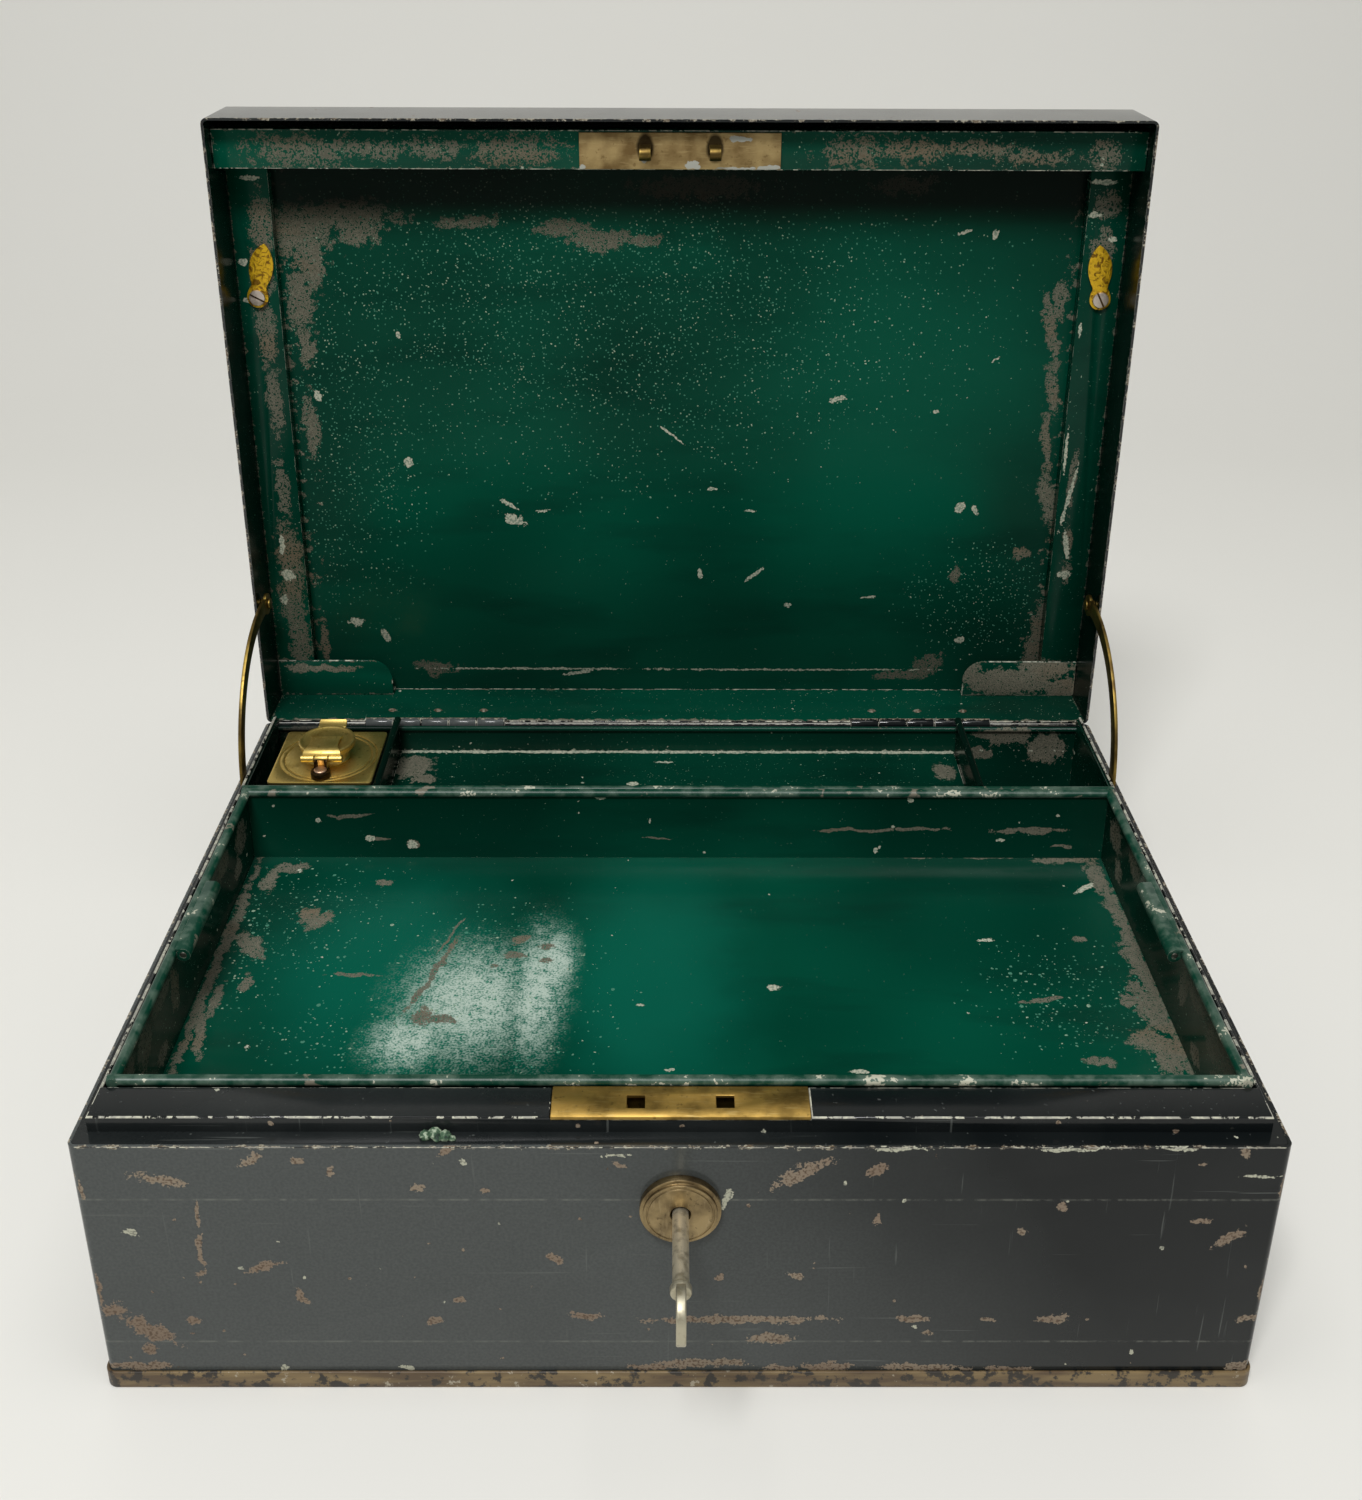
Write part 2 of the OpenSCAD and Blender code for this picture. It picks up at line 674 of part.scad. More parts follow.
// The revolving barrel round the key, with the disc and stud that throw the bolt.
module lock_curtain() color(BRASS) {
    disc_y0 = curtain_y1 - plate_t;
    difference() {
        translate([0, 0, key_z]) bar_y(curtain_y0, disc_y0, curtain_r);
        translate([0, 0, key_z]) bar_y(curtain_y0 - cut, disc_y0, shank_r + curtain_play);
        block([-keyhole_slot / 2, curtain_y0 - cut, key_z - curtain_r - cut],
              [keyhole_slot / 2, disc_y0, key_z]);
    }
    translate([0, 0, key_z]) bar_y(disc_y0, curtain_y1, drive_disc_r);
    translate([-throw_r, 0, key_z]) bar_y(curtain_y1, bolt_y0 + bolt_t, stud_r);
}

module escutcheon() color(BRASS) {
    face = front_y - drum_h - disc_h;
    difference() {
        translate([0, 0, key_z]) union() {
            bar_y(front_y - drum_h, front_y, drum_r);
            bar_y(face, front_y, disc_r);
        }
        translate([0, 0, key_z]) difference() {
            bar_y(face - cut, face + ring_depth, disc_r - ring_in);
            bar_y(face - 2 * cut, face + ring_depth + cut, disc_r - ring_in - ring_w);
        }
        keyhole(face - cut, front_y + cut);
    }
}

module key() color(NICKEL) {
    translate([0, 0, key_z]) {
        bar_y(collar_of_key_y, key_tip, shank_r);
        bar_y(collar_of_key_y - key_collar_t / 2, collar_of_key_y + key_collar_t / 2, key_collar_r);
        difference() {
            union() {
                for (z = [-bow_stretch, bow_stretch])
                    translate([0, bow_y, z]) bar_x(-bow_t / 2, bow_t / 2, bow_r);
                block([-bow_t / 2, bow_y - bow_r, -bow_stretch],
                      [bow_t / 2, bow_y + bow_r, bow_stretch]);
            }
            for (z = [-bow_stretch, bow_stretch])
                translate([0, bow_y, z]) bar_x(-bow_t, bow_t, bow_r - bow_w);
            block([-bow_t, bow_y - bow_r + bow_w, -bow_stretch],
                  [bow_t, bow_y + bow_r - bow_w, bow_stretch]);
        }
    }
    difference() {
        block([-bit_t / 2, key_tip - bit_len, key_z - bit_r], [bit_t / 2, key_tip, key_z]);
        for (k = [0, 1])
            translate([0, key_tip - bit_len + ward_first + ward_pitch * k, key_z - bit_r])
                block([-bit_t, 0, -cut], [bit_t, ward_w, ward_deep - ward_step * k]);
    }
}

module lid_shell() color(JAPAN) in_lid() difference() {
    translate([0, -case_d / 2, 0]) difference() {
        linear_extrude(lid_h) round_rect(case_w, case_d, corner_r);
        translate([0, 0, -cut]) linear_extrude(lid_h - sheet + cut)
            round_rect(case_w - 2 * sheet, case_d - 2 * sheet, corner_r - sheet);
    }
    for (x = [-hinge_x, hinge_x])
        bar_x(x - hinge_len / 2 - run, x + hinge_len / 2 + run, knuckle_r + run);
    leaf_rivet_places() bar_y(-sheet - cut, cut, hinge_rivet_r + pin_fit);
    translate([0, -stay_mid * cos(stay_end), stay_rivet_in])
        both_sides() bar_x(inner_x - cut, half_w + cut, stay_rivet_r + pin_fit);
}

module lid_front_channel() color(GREEN) in_lid() {
    y0 = -case_d + channel_inset;
    y1 = y0 + channel_w;
    x1 = inner_x - seam;
    top = lid_h - sheet;
    block([-x1, y0, channel_face], [x1, y1, channel_face + sheet]);
    block([-x1, y0, channel_face], [x1, y0 + sheet, top]);
    block([-x1, y1 - sheet, channel_face], [x1, y1, top]);
}

module lid_side_channel(side) color(GREEN) in_lid() on_side(side) {
    y0 = -case_d + channel_inset + channel_w + seam;
    y1 = -sheet - gusset_h - seam;
    x1 = inner_x - seam;
    difference() {
        union() {
            block([x1 - side_channel_w, y0, side_channel_face], [x1, y1, side_channel_face + sheet]);
            block([x1 - side_channel_w, y0, side_channel_face],
                  [x1 - side_channel_w + sheet, y1, lid_h - sheet]);
        }
        translate([turn_x, -turn_up, side_channel_face - cut])
            cylinder(r = turn_screw_r + pin_fit, h = sheet + 2 * cut);
    }
}

module lid_gusset(side) color(GREEN) in_lid() on_side(side) {
    x0 = inner_x - seam - gusset_w;
    y1 = -sheet - seam;
    translate([0, 0, side_channel_face]) linear_extrude(sheet) intersection() {
        translate([0, -case_d / 2]) inside_walls();
        union() {
            translate([x0, y1 - gusset_h + gusset_r]) square([gusset_w + cut, gusset_h]);
            translate([x0 + gusset_r, y1 - gusset_h]) square([gusset_w, gusset_h]);
            translate([x0 + gusset_r, y1 - gusset_h + gusset_r]) circle(gusset_r);
        }
    }
    block([x0, y1 - sheet, side_channel_face], [inner_x - corner_r, y1, lid_h - sheet]);
}

module hook_plate() color(BRASS) in_lid() {
    mid = staple_y - back_y;
    block([-selvedge_w / 2, mid - hook_plate_h / 2, staple_base],
          [selvedge_w / 2, mid + hook_plate_h / 2, channel_face]);
}

// Each staple is a strip bent to a loop, open from side to side for the bolt.
module hook_staples() color(BRASS) in_lid() {
    mid = staple_y - back_y;
    low = staple_base - staple_drop;
    bend = staple_span / 2;
    for (x = [-hook_x, hook_x]) translate([x, mid, 0]) difference() {
        union() {
            block([-staple_w / 2, -bend, low + bend], [staple_w / 2, bend, staple_base]);
            translate([0, 0, low + bend]) bar_x(-staple_w / 2, staple_w / 2, bend);
        }
        block([-staple_w, -bend + staple_t, low + bend], [staple_w, bend - staple_t, staple_base + cut]);
        translate([0, 0, low + bend]) bar_x(-staple_w, staple_w, bend - staple_t);
    }
}

// A quadrant struck from the hinge line, with an eye for its rivet inside the lid and
// a foot that catches under the ledge.
module stay(side) color(BRASS) on_side(side)
    translate([stay_x, back_y, ledge_z]) rotate([90, 0, 90]) linear_extrude(stay_t) difference() {
        union() {
            intersection() {
                difference() {
                    circle(stay_r, $fn = 240);
                    circle(stay_r - stay_w, $fn = 240);
                }
                polygon([
                    [0, 0], [-2 * stay_r, -foot_h], [-2 * stay_r, 2 * stay_r],
                    [2 * stay_r * tan(stay_end), 2 * stay_r]
                ]);
            }
            translate([stay_rivet_in, stay_mid * cos(stay_end)]) circle(stay_eye_r);
            translate([-stay_r, -sheet - run - foot_h]) square([stay_w + stay_catch, foot_h]);
        }
        translate([stay_rivet_in, stay_mid * cos(stay_end)]) circle(stay_rivet_r + pin_fit);
        translate([-stay_r - cut, -sheet - run - foot_h - stay_r]) square([2 * stay_r, stay_r]);
    }

module stay_rivets() color(BRASS) in_lid()
    translate([0, -stay_mid * cos(stay_end), stay_rivet_in]) both_sides() {
        bar_x(stay_x - head_gap - stay_washer, half_w, stay_rivet_r);
        bar_x(stay_x - head_gap - stay_washer, stay_x - head_gap, stay_head_r);
        bar_x(stay_x + stay_t + head_gap, inner_x, stay_head_r);
    }

module turn_button(side, lean) color(BRASS) in_lid() on_side(side)
    translate([turn_x, -turn_up, turn_z - turn_gap]) rotate([0, 0, -lean])
        linear_extrude(turn_t) difference() {
            tip_y = turn_w / 2 - turn_len;
            union() {
                circle(turn_eye_r);
                translate([-turn_neck_w / 2, tip_y]) square([turn_neck_w, -tip_y]);
                translate([0, tip_y]) circle(turn_w / 2);
            }
            circle(turn_screw_r + pin_fit);
        }

module turn_button_screws() color(STEEL) in_lid() both_sides()
    translate([turn_x, -turn_up, turn_z - 2 * turn_gap - turn_head_t]) difference() {
        union() {
            cylinder(r = turn_screw_r, h = turn_head_t + turn_t + sheet + turn_shank);
            cylinder(r = turn_head_r, h = turn_head_t);
        }
        block([-turn_head_r - cut, -turn_slot_w / 2, -cut],
              [turn_head_r + cut, turn_slot_w / 2, turn_sink]);
    }

module tray_shell() color(GREEN) {
    x1 = tray_wall_x + tray_sheet / 2;
    y0 = tray_wall_y0 - tray_sheet / 2;
    y1 = tray_wall_y1 + tray_sheet / 2;
    difference() {
        block([-x1, y0, tray_floor - tray_sheet], [x1, y1, tray_rim_z]);
        block([-x1 + tray_sheet, y0 + tray_sheet, tray_floor],
              [x1 - tray_sheet, y1 - tray_sheet, tray_rim_z + cut]);
    }
    translate([0, 0, tray_rim_z]) {
        for (y = [tray_wall_y0, tray_wall_y1]) translate([0, y, 0]) bar_x(-tray_x, tray_x, rim_r);
        for (x = [-tray_wall_x, tray_wall_x]) translate([x, 0, 0]) bar_y(tray_y0, tray_y1, rim_r);
    }
}

// A tab folded in from the tray's wall and rolled round a wire.
module lift_lip(side) color(GREEN) on_side(side) {
    difference() {
        union() {
            translate([lip_x, lip_y, lip_z]) bar_y(-lip_len / 2, lip_len / 2, lip_r);
            block([lip_x, lip_y - lip_len / 2, lip_z + lip_r - tray_sheet],
                  [tray_x - 2 * rim_r + lip_lap, lip_y + lip_len / 2, lip_z + lip_r]);
        }
        translate([lip_x, lip_y, lip_z]) bar_y(-lip_len / 2 - cut, lip_len / 2 + cut, wire_r + lip_fit);
        translate([tray_wall_x, lip_y, tray_rim_z])
            bar_y(-lip_len / 2 - cut, lip_len / 2 + cut, rim_r + lip_fit);
    }
}

module lift_lip_wires() color(STEEL) both_sides()
    translate([lip_x, lip_y, lip_z]) bar_y(-lip_len / 2, lip_len / 2, wire_r);

module inkwell_bottle() color(GLASS) translate([ink_x, ink_y, 0]) difference() {
    block([-bottle_w / 2, -bottle_w / 2, bottle_z0], [bottle_w / 2, bottle_w / 2, bottle_top]);
    block([-bottle_w / 2 + glass_t, -bottle_w / 2 + glass_t, bottle_z0 + glass_t],
          [bottle_w / 2 - glass_t, bottle_w / 2 - glass_t, bottle_top - glass_t]);
    translate([0, 0, bottle_top - glass_t - cut]) cylinder(r = mouth_r, h = glass_t + 2 * cut);
}

module inkwell_plate() color(BRASS) translate([ink_x, ink_y, ink_z - ink_plate_t]) difference() {
    linear_extrude(ink_plate_t) round_rect(ink_plate, ink_plate, plate_corner_r);
    translate([0, 0, -cut]) cylinder(r = mouth_r, h = ink_plate_t + 2 * cut);
    for (r = [ink_plate / 2 - plate_ring, ink_plate / 2 - 3 * plate_ring])
        translate([0, 0, ink_plate_t - ring_depth]) difference() {
            cylinder(r = r, h = cut);
            translate([0, 0, -cut]) cylinder(r = r - ring_w, h = 3 * cut);
        }
}

module inkwell_neck() color(BRASS) translate([ink_x, ink_y, ink_z]) difference() {
    cylinder(r = neck_r, h = neck_h);
    translate([0, 0, -cut]) cylinder(r = mouth_r, h = neck_h + 2 * cut);
}

// The post that holds the push button and the middle knuckle of the cap's hinge.
module inkwell_post() color(BRASS) translate([ink_x, 0, 0]) difference() {
    knuckle_x = barrel_len / 6 - run / 2;
    union() {
        translate([0, post_y, ink_z]) cylinder(r = post_r, h = button_z - ink_z - button_proud);
        block([-knuckle_x, post_y, ink_z], [knuckle_x, ink_pin_y, pin_z - strap_gap]);
        translate([0, ink_pin_y, pin_z]) bar_x(-knuckle_x, knuckle_x, barrel_r);
    }
    translate([0, ink_pin_y, pin_z]) bar_x(-barrel_len, barrel_len, ink_pin_r + press);
    translate([0, post_y, ink_z - cut]) cylinder(r = button_r + pin_fit, h = neck_h + 2 * cut);
}

module inkwell_cap() color(BRASS) translate([ink_x, 0, 0]) {
    rim_h = cap_h * cap_rim_share;
    dome_r = (cap_r * cap_r + (cap_h - rim_h) * (cap_h - rim_h)) / (2 * (cap_h - rim_h));
    top = cap_z0 + seam + cap_h;
    translate([0, ink_y, cap_z0 + seam]) {
        cylinder(r = cap_r, h = rim_h);
        intersection() {
            translate([0, 0, cap_h - dome_r]) sphere(dome_r, $fn = 128);
            translate([0, 0, rim_h]) cylinder(r = cap_r, h = cap_h);
        }
        block([-tab_w / 2, cap_r - tab_in, 0], [tab_w / 2, cap_r + tab_out, tab_t]);
    }
    difference() {
        union() {
            block([-strap_w / 2, ink_pin_y + barrel_r + strap_gap, pin_z + strap_gap],
                  [strap_w / 2, ink_y - strap_end, top + strap_t]);
            for (s = [-1, 1]) {
                x0 = s < 0 ? -barrel_len / 2 : barrel_len / 6 + run / 2;
                x1 = s < 0 ? -barrel_len / 6 - run / 2 : barrel_len / 2;
                translate([0, ink_pin_y, pin_z]) bar_x(x0, x1, barrel_r);
                block([max(x0, -strap_w / 2), ink_pin_y, pin_z + strap_gap],
                      [min(x1, strap_w / 2), ink_pin_y + barrel_r + 2 * strap_gap, pin_z + barrel_r]);
            }
        }
        translate([0, ink_pin_y, pin_z]) bar_x(-barrel_len, barrel_len, ink_pin_r + pin_fit);
    }
}

module inkwell_hinge_pin() color(STEEL) translate([ink_x, ink_pin_y, pin_z])
    bar_x(-barrel_len / 2, barrel_len / 2, ink_pin_r);

module inkwell_button() color(BRASS) {
    low = ink_z + button_travel + run;
    translate([ink_x, post_y, low]) cylinder(r = button_r, h = button_z - low);
}

case_shell();
base_plate();
base_bead();
rim_frame();
tray_bearers();
till_shell();
till_divider(-1);  // till_divider_left
till_divider(1);  // till_divider_right
pen_trough();
hinge_case_leaves();
hinge_lid_leaves();
hinge_pins();
hinge_case_rivets();
hinge_lid_rivets();
lock_case();
lock_selvedge();
lock_lever_post();
lock_levers();
lock_spring();
lock_bolt();
lock_curtain();
escutcheon();
key();
lid_shell();
lid_front_channel();
lid_side_channel(-1);  // lid_side_channel_left
lid_side_channel(1);  // lid_side_channel_right
lid_gusset(-1);  // lid_gusset_left
lid_gusset(1);  // lid_gusset_right
hook_plate();
hook_staples();
stay(-1);  // stay_left
stay(1);  // stay_right
stay_rivets();
turn_button(-1, turn_lean_left);  // turn_button_left
turn_button(1, turn_lean_right);  // turn_button_right
turn_button_screws();
tray_shell();
lift_lip(-1);  // lift_lip_left
lift_lip(1);  // lift_lip_right
lift_lip_wires();
inkwell_bottle();
inkwell_plate();
inkwell_neck();
inkwell_post();
inkwell_cap();
inkwell_hinge_pin();
inkwell_button();
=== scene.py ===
"""Looks of a japanned tin cash box: worn lacquer, aged brass and the small turned
and bent forms, laid over its packed construction model."""

import math

import bpy
from mathutils import Matrix, Vector


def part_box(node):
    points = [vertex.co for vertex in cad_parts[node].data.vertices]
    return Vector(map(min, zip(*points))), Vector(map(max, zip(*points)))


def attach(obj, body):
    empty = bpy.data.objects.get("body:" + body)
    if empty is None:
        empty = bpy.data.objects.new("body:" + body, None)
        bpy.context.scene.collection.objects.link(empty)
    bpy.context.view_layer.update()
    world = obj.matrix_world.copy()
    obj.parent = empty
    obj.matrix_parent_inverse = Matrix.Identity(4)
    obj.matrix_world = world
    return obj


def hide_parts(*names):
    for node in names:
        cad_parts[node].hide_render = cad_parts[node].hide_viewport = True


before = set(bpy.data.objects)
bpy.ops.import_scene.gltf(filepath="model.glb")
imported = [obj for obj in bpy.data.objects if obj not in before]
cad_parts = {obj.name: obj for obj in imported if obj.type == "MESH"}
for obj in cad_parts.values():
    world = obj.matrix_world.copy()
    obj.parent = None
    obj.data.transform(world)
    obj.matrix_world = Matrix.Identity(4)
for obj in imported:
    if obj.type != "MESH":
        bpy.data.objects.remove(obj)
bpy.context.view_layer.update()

bl_info = {
    "name": "Japanned Cash Box",
    "version": (1, 0, 0),
    "blender": (4, 5, 0),
    "location": "3D View > Sidebar > Cash Box",
    "description": "Dresses the frame of a tin cash box in worn japan, brass and steel",
    "category": "Object",
}

MM = 0.001
CASE_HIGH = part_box("case_shell")[1]
LEDGE_Z = CASE_HIGH.z
LID_LOW, LID_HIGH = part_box("lid_shell")
TRAY_LOW, TRAY_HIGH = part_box("tray_shell")

# Wear on the front face: across and up from the middle of the foot, half length and
# half width in millimetres, and the turn in degrees of those that lie askew.
FRONT_CHIPS = (
    (-152, 83.2, 7.2, 2.0, -11), (-142.2, 70, 0.6, 5.9), (-143.4, 56.3, 0.8, 5.2), (-144.3, 46.7, 1.2, 1.4),
    (-124.7, 49.5, 5.1, 1.6, 19), (-115, 37.3, 1.4, 2.8, 25), (-124.3, 91.9, 3.1, 1.9, 44),
    (-111.4, 90.8, 2, 1.2), (-68.2, 94.2, 2.9, 1.3, 36), (-77.7, 80.9, 2.2, 1.4),
    (-162.5, 24, 8.4, 3.1, -35), (-172.4, 31.9, 3.8, 2.2, 13), (-163.6, 15.5, 1.9, 1.9),
    (-148.3, 27.7, 2, 1.4), (-75.2, 27.7, 2, 1.4), (-67.4, 36, 1.9, 1.4, -27), (-167.6, 8.2, 9.9, 1.6),
    (-28.4, 29.4, 4.6, 1.5), (-37.5, 53.1, 2.2, 1.2, -32), (19.1, 27.7, 26.3, 1.5), (27.2, 19.7, 6.8, 2.1),
    (6.4, 9.5, 13.1, 1.5), (-7.6, 7.8, 9.3, 1.2), (31.3, 6.9, 4.7, 1.4), (44.7, 7.7, 6.9, 1.8),
    (34.9, 86, 8.8, 2.2, 31), (57, 87.1, 3.1, 1.7, 38), (58.3, 68.2, 1.1, 1.8), (34.4, 45.9, 2.8, 1.1, -20),
    (12.1, 45.5, 1.1, 1.3), (112.9, 73.3, 1.5, 1.7), (102, 63.5, 1.2, 1.3), (164, 61.2, 5.6, 1.5, 33),
    (155.1, 67.9, 3.3, 0.9), (71.1, 28.2, 4.9, 1.5), (76.1, 21.8, 1.5, 1.2), (114.1, 28.2, 4.3, 1.7, 7),
    (94.5, 27.7, 2.3, 0.8), (152.2, 89.4, 1.2, 0.9), (164.1, 93.6, 1.5, 1.6), (174.5, 28.6, 3.1, 1.3),
    (75.8, 7.7, 13.1, 1.4), (102.7, 6.9, 6.9, 1.2), (174.1, 7.7, 4.1, 2.4), (-102.1, 86.6, 1.9, 1.3, 62),
    (-57.3, 79.8, 1.2, 0.9), (5.8, 74, 2.4, 0.9), (-17.6, 89.3, 2.1, 0.8, -25), (-175.8, 79.7, 0.6, 4.2),
    (177, 79.9, 0.8, 5.8), (176.7, 40.2, 0.8, 5.4), (-175.8, 40.1, 0.7, 4.9),
)
FRONT_PALE = (
    (-163.3, 63.8, 2, 1.4, -14), (-18.5, 92.7, 3.2, 0.7), (14, 76.8, 1, 3.6, -13), (170, 85.3, 4.7, 0.5),
    (-63.5, 90.1, 0.9, 0.8), (-113.1, 45, 0.6, 0.7), (-84.7, 7.8, 1.9, 0.7), (-122.6, 7.8, 1.4, 1.2),
    (139.6, 14.2, 0.8, 1), (114.3, 95, 8.7, 0.6), (63.5, 95.4, 7.2, 0.6), (144.6, 95.6, 5.2, 0.7),
)
# How high two gilt lines once ran round the case, in millimetres.
GILT_LINES = (76.0, 18.7)
# The same for the lid's panel, seen square on in the open lid.
PANEL_BARE = (
    (-151.2, 302.6, 11.9, 10), (-31.8, 298.9, 12, 4.5), (-47.6, 303.7, 10, 3), (-148.3, 290.6, 6, 12.2),
    (-153.8, 274.3, 4.9, 14.5), (-152.4, 253.4, 3.3, 8.5), (-153.7, 219, 2.9, 13.3), (8, 320, 23.7, 4.3),
    (-127.5, 300.7, 8, 4), (-83.4, 306, 12, 2.6), (152, 262.7, 2.4, 15.1, 12), (155.1, 237.2, 2.5, 11, 10),
    (154.7, 215.3, 2.1, 11.3, 10), (160.6, 124.3, 4, 14.9), (157.1, 114.4, 3.6, 10), (-15.8, 299, 7, 2.6),
    (-136.8, 308.6, 23.8, 5.9), (88.9, 321, 11.8, 3.5), (154.7, 275.1, 2.8, 8.3), (-156.1, 121.2, 1.8, 9.9),
    (120.8, 153.3, 2.6, 3.6), (-108, 107.5, 8, 3.2), (100, 104.5, 13, 2.4), (111, 109, 7, 4.4, 30),
    (158, 188, 3, 12, 12), (149, 163, 3.4, 2.2),
)
PANEL_DUST = ((-56, 298, 100, 42), (-36, 284, 150, 88), (-140, 222, 36, 84), (134, 141, 36, 28))
# Painted reflection: wide soft patches where the panel is brighter.
PANEL_REFLECTION = ((98, 246, 66, 60), (84, 206, 46, 46))
PANEL_PALE = (
    (66.3, 233, 2.9, 1.2, 11), (-114.4, 204.9, 1.7, 1.8), (-72, 185.5, 4.7, 0.8, -32),
    (-70.2, 178.6, 4.2, 2.4, -22), (-58, 182.8, 2.6, 0.6, 6), (-2.8, 217.1, 5.6, 0.4, -39),
    (-4.8, 218.4, 3.6, 0.3, -39), (33.5, 153.5, 4.9, 0.7, 38), (9.5, 153.5, 0.9, 2.4),
    (126.1, 301.4, 1, 2.2, -15), (114, 302.6, 2.7, 0.6, 21), (107.5, 227.5, 1.2, 1),
    (-150, 233.8, 1.7, 2.2), (-115, 259.8, 0.8, 1.2), (-141.7, 130.1, 3, 2.2), (-129.3, 123.2, 1.3, 3, 22),
    (-43.8, 105.5, 6.8, 0.9, 9), (125.3, 121.8, 2.2, 1.3), (48.4, 138.7, 2.2, 1), (14.3, 193, 2.1, 0.7),
    (30.7, 183, 2.6, 0.5), (83.4, 142.6, 2.6, 0.5, 6), (120.7, 184.6, 1.6, 2.8, -40),
    (127.2, 183.7, 1.1, 2.1, 33), (130.3, 249.9, 2, 0.4, 43), (163.7, 161.4, 1.7, 0.8),
    (-60, 107.2, 52, 0.45), (52, 106.9, 58, 0.4),
)
CHANNEL_BARE = (
    (-143, 336.8, 19, 6), (-118, 337.4, 15, 3.6), (-94, 338.2, 13, 3.4), (-62, 337, 17, 5.8),
    (66, 337, 11, 6), (88, 337.6, 13, 4.4), (113, 338.7, 15, 3), (134, 335.4, 14, 2.8),
    (161, 335.8, 5.6, 6),
)
SIDE_BARE = (
    (-165, 305.7, 4.3, 11.9), (-166.4, 287.9, 4.4, 10.1), (-167.3, 263.4, 4, 16.7),
    (-166.5, 233.9, 2.9, 15.2), (-166.9, 194.4, 3, 13.6), (-166.9, 162.3, 5.2, 16.5),
    (-167.8, 143.4, 5.2, 14.4), (-166.1, 124.1, 4.8, 14.8), (168.3, 314.5, 4.7, 5.9),
    (167.9, 296.8, 4.4, 8), (165.8, 199.6, 1.7, 13.6), (167.4, 158.3, 2.2, 6.1), (166.9, 172.3, 2.1, 7),
    (-112.5, 102.5, 8.4, 5.5), (147.9, 104, 20.1, 6.5), (125.3, 108.9, 8.8, 6, 34), (118.3, 113.9, 4.4, 4),
    (-154, 110.4, 13.3, 1.4), (172.8, 100, 8.9, 5), (-167.3, 110.3, 4.4, 2.5), (-45.6, 108.6, 8.9, 1.4),
    (162.9, 111, 13.3, 3.5),
)
GUSSET_BARE = SIDE_BARE[13:]
SIDE_PALE = (
    (-169.7, 169.2, 1.2, 4), (-168.4, 155.2, 2.4, 2.4), (-170.8, 143.4, 1.4, 2.6),
    (165.1, 190.6, 0.8, 13.4, -10), (166.3, 170, 1, 7.1, 11), (166.8, 156, 2.6, 1.8), (164, 310.6, 2.8, 1),
    (162.5, 264.3, 0.7, 2.9), (162, 213, 0.6, 8.9), (-174.1, 275.7, 1.2, 1), (-173.7, 291, 1.6, 1.2),
    (171.8, 300.8, 1.6, 1.2), (-167.5, 324, 3.9, 1), (166.2, 323.4, 4.7, 1),
)
# The tray's floor, seen from above.
FLOOR_BARE = (
    (-157.6, 1.4, 4, 9, 35), (-153.8, -21.9, 2, 5), (-139.4, 20.1, 4, 4.6, 35), (-134.2, 16.9, 3, 6, -39),
    (-88.4, -16.1, 1.2, 23, -18), (-88.1, -38.2, 3.6, 5), (-82.3, -40.8, 6, 2), (-84.2, 7.6, 0.5, 11, -19),
    (-115.9, -16.1, 9, 0.9), (-114.5, 41.3, 3.6, 2), (-59.7, -4.4, 5, 1.6), (-58.7, 4.6, 3.6, 2.2, 32),
    (-48.1, 1.6, 3.4, 1.8), (-48.6, -7.3, 2.4, 1.6), (-66.4, -10.3, 1.8, 1.4), (-153.8, 51.5, 7, 3),
    (-159.8, 43.2, 3, 6.8), (-162.3, -30.2, 1.7, 8.1), (164.7, 43.9, 3.6, 10), (166.5, 23.9, 3, 12, 8),
    (166, -7, 3.4, 13, 8), (165, -35.2, 5, 14, 12), (164, -58.5, 6, 9.8), (139.8, -62, 4.4, 2.6),
    (158.2, -29.8, 3.4, 4), (128.3, -29.8, 7, 1, 8), (148.6, 5, 2.4, 1.4), (113.1, 59.9, 24.1, 1.1),
    (152.9, 57.9, 12, 2.4), (159.4, -50.9, 7, 5), (-163.5, -46.2, 1.6, 13.4, 10), (167.4, -6, 2.6, 70, 1),
    (-166.8, -8, 2.0, 64),
)
# The bloom: crazed lacquer with a painted reflection over it.
FLOOR_BLOOM_AND_SHEEN = ((-73.2, -30.1, 34, 44), (-50.6, -24.5, 15, 50), (-92, -52, 19, 20), (-45, -10, 11, 30))
FLOOR_DUST = ((-150, 6, 40, 56), (-118, -48, 34, 26), (139, -30, 36, 36), (-73, -26, 50, 54))
FLOOR_KEPT = ((-10, -20, 34, 74), (-108, -12, 44, 64))
FLOOR_PALE = (
    (33.6, -23.3, 2, 1.7), (113.4, 4.9, 3, 1), (-145.2, -54.8, 1, 1.1), (-149.5, 50.1, 1, 1.2),
    (-13.6, -32.7, 1.4, 0.6), (158.3, 38.4, 5, 1.2, 39), (81.2, 61.3, 6, 1), (59.4, -67, 3.3, 0.8),
    (-3.1, -66.1, 2, 0.8),
)
TRAY_WALL_BARE = (
    (-130, 91.5, 7.9, 1), (-106.3, 78.5, 2.2, 1.8), (72.3, 84.8, 15.9, 0.7), (94.2, 85.3, 11.9, 0.8),
    (140, 84.9, 13.9, 1.3), (152.7, 77.9, 4, 0.7), (-82, 102, 5.9, 1.2), (-50.5, 103, 7.9, 1.2),
    (-7.3, 81, 6, 0.4), (126.7, 101, 7.9, 1.2), (-118.9, 80.8, 5, 0.7), (55.7, 102, 5.9, 1),
)
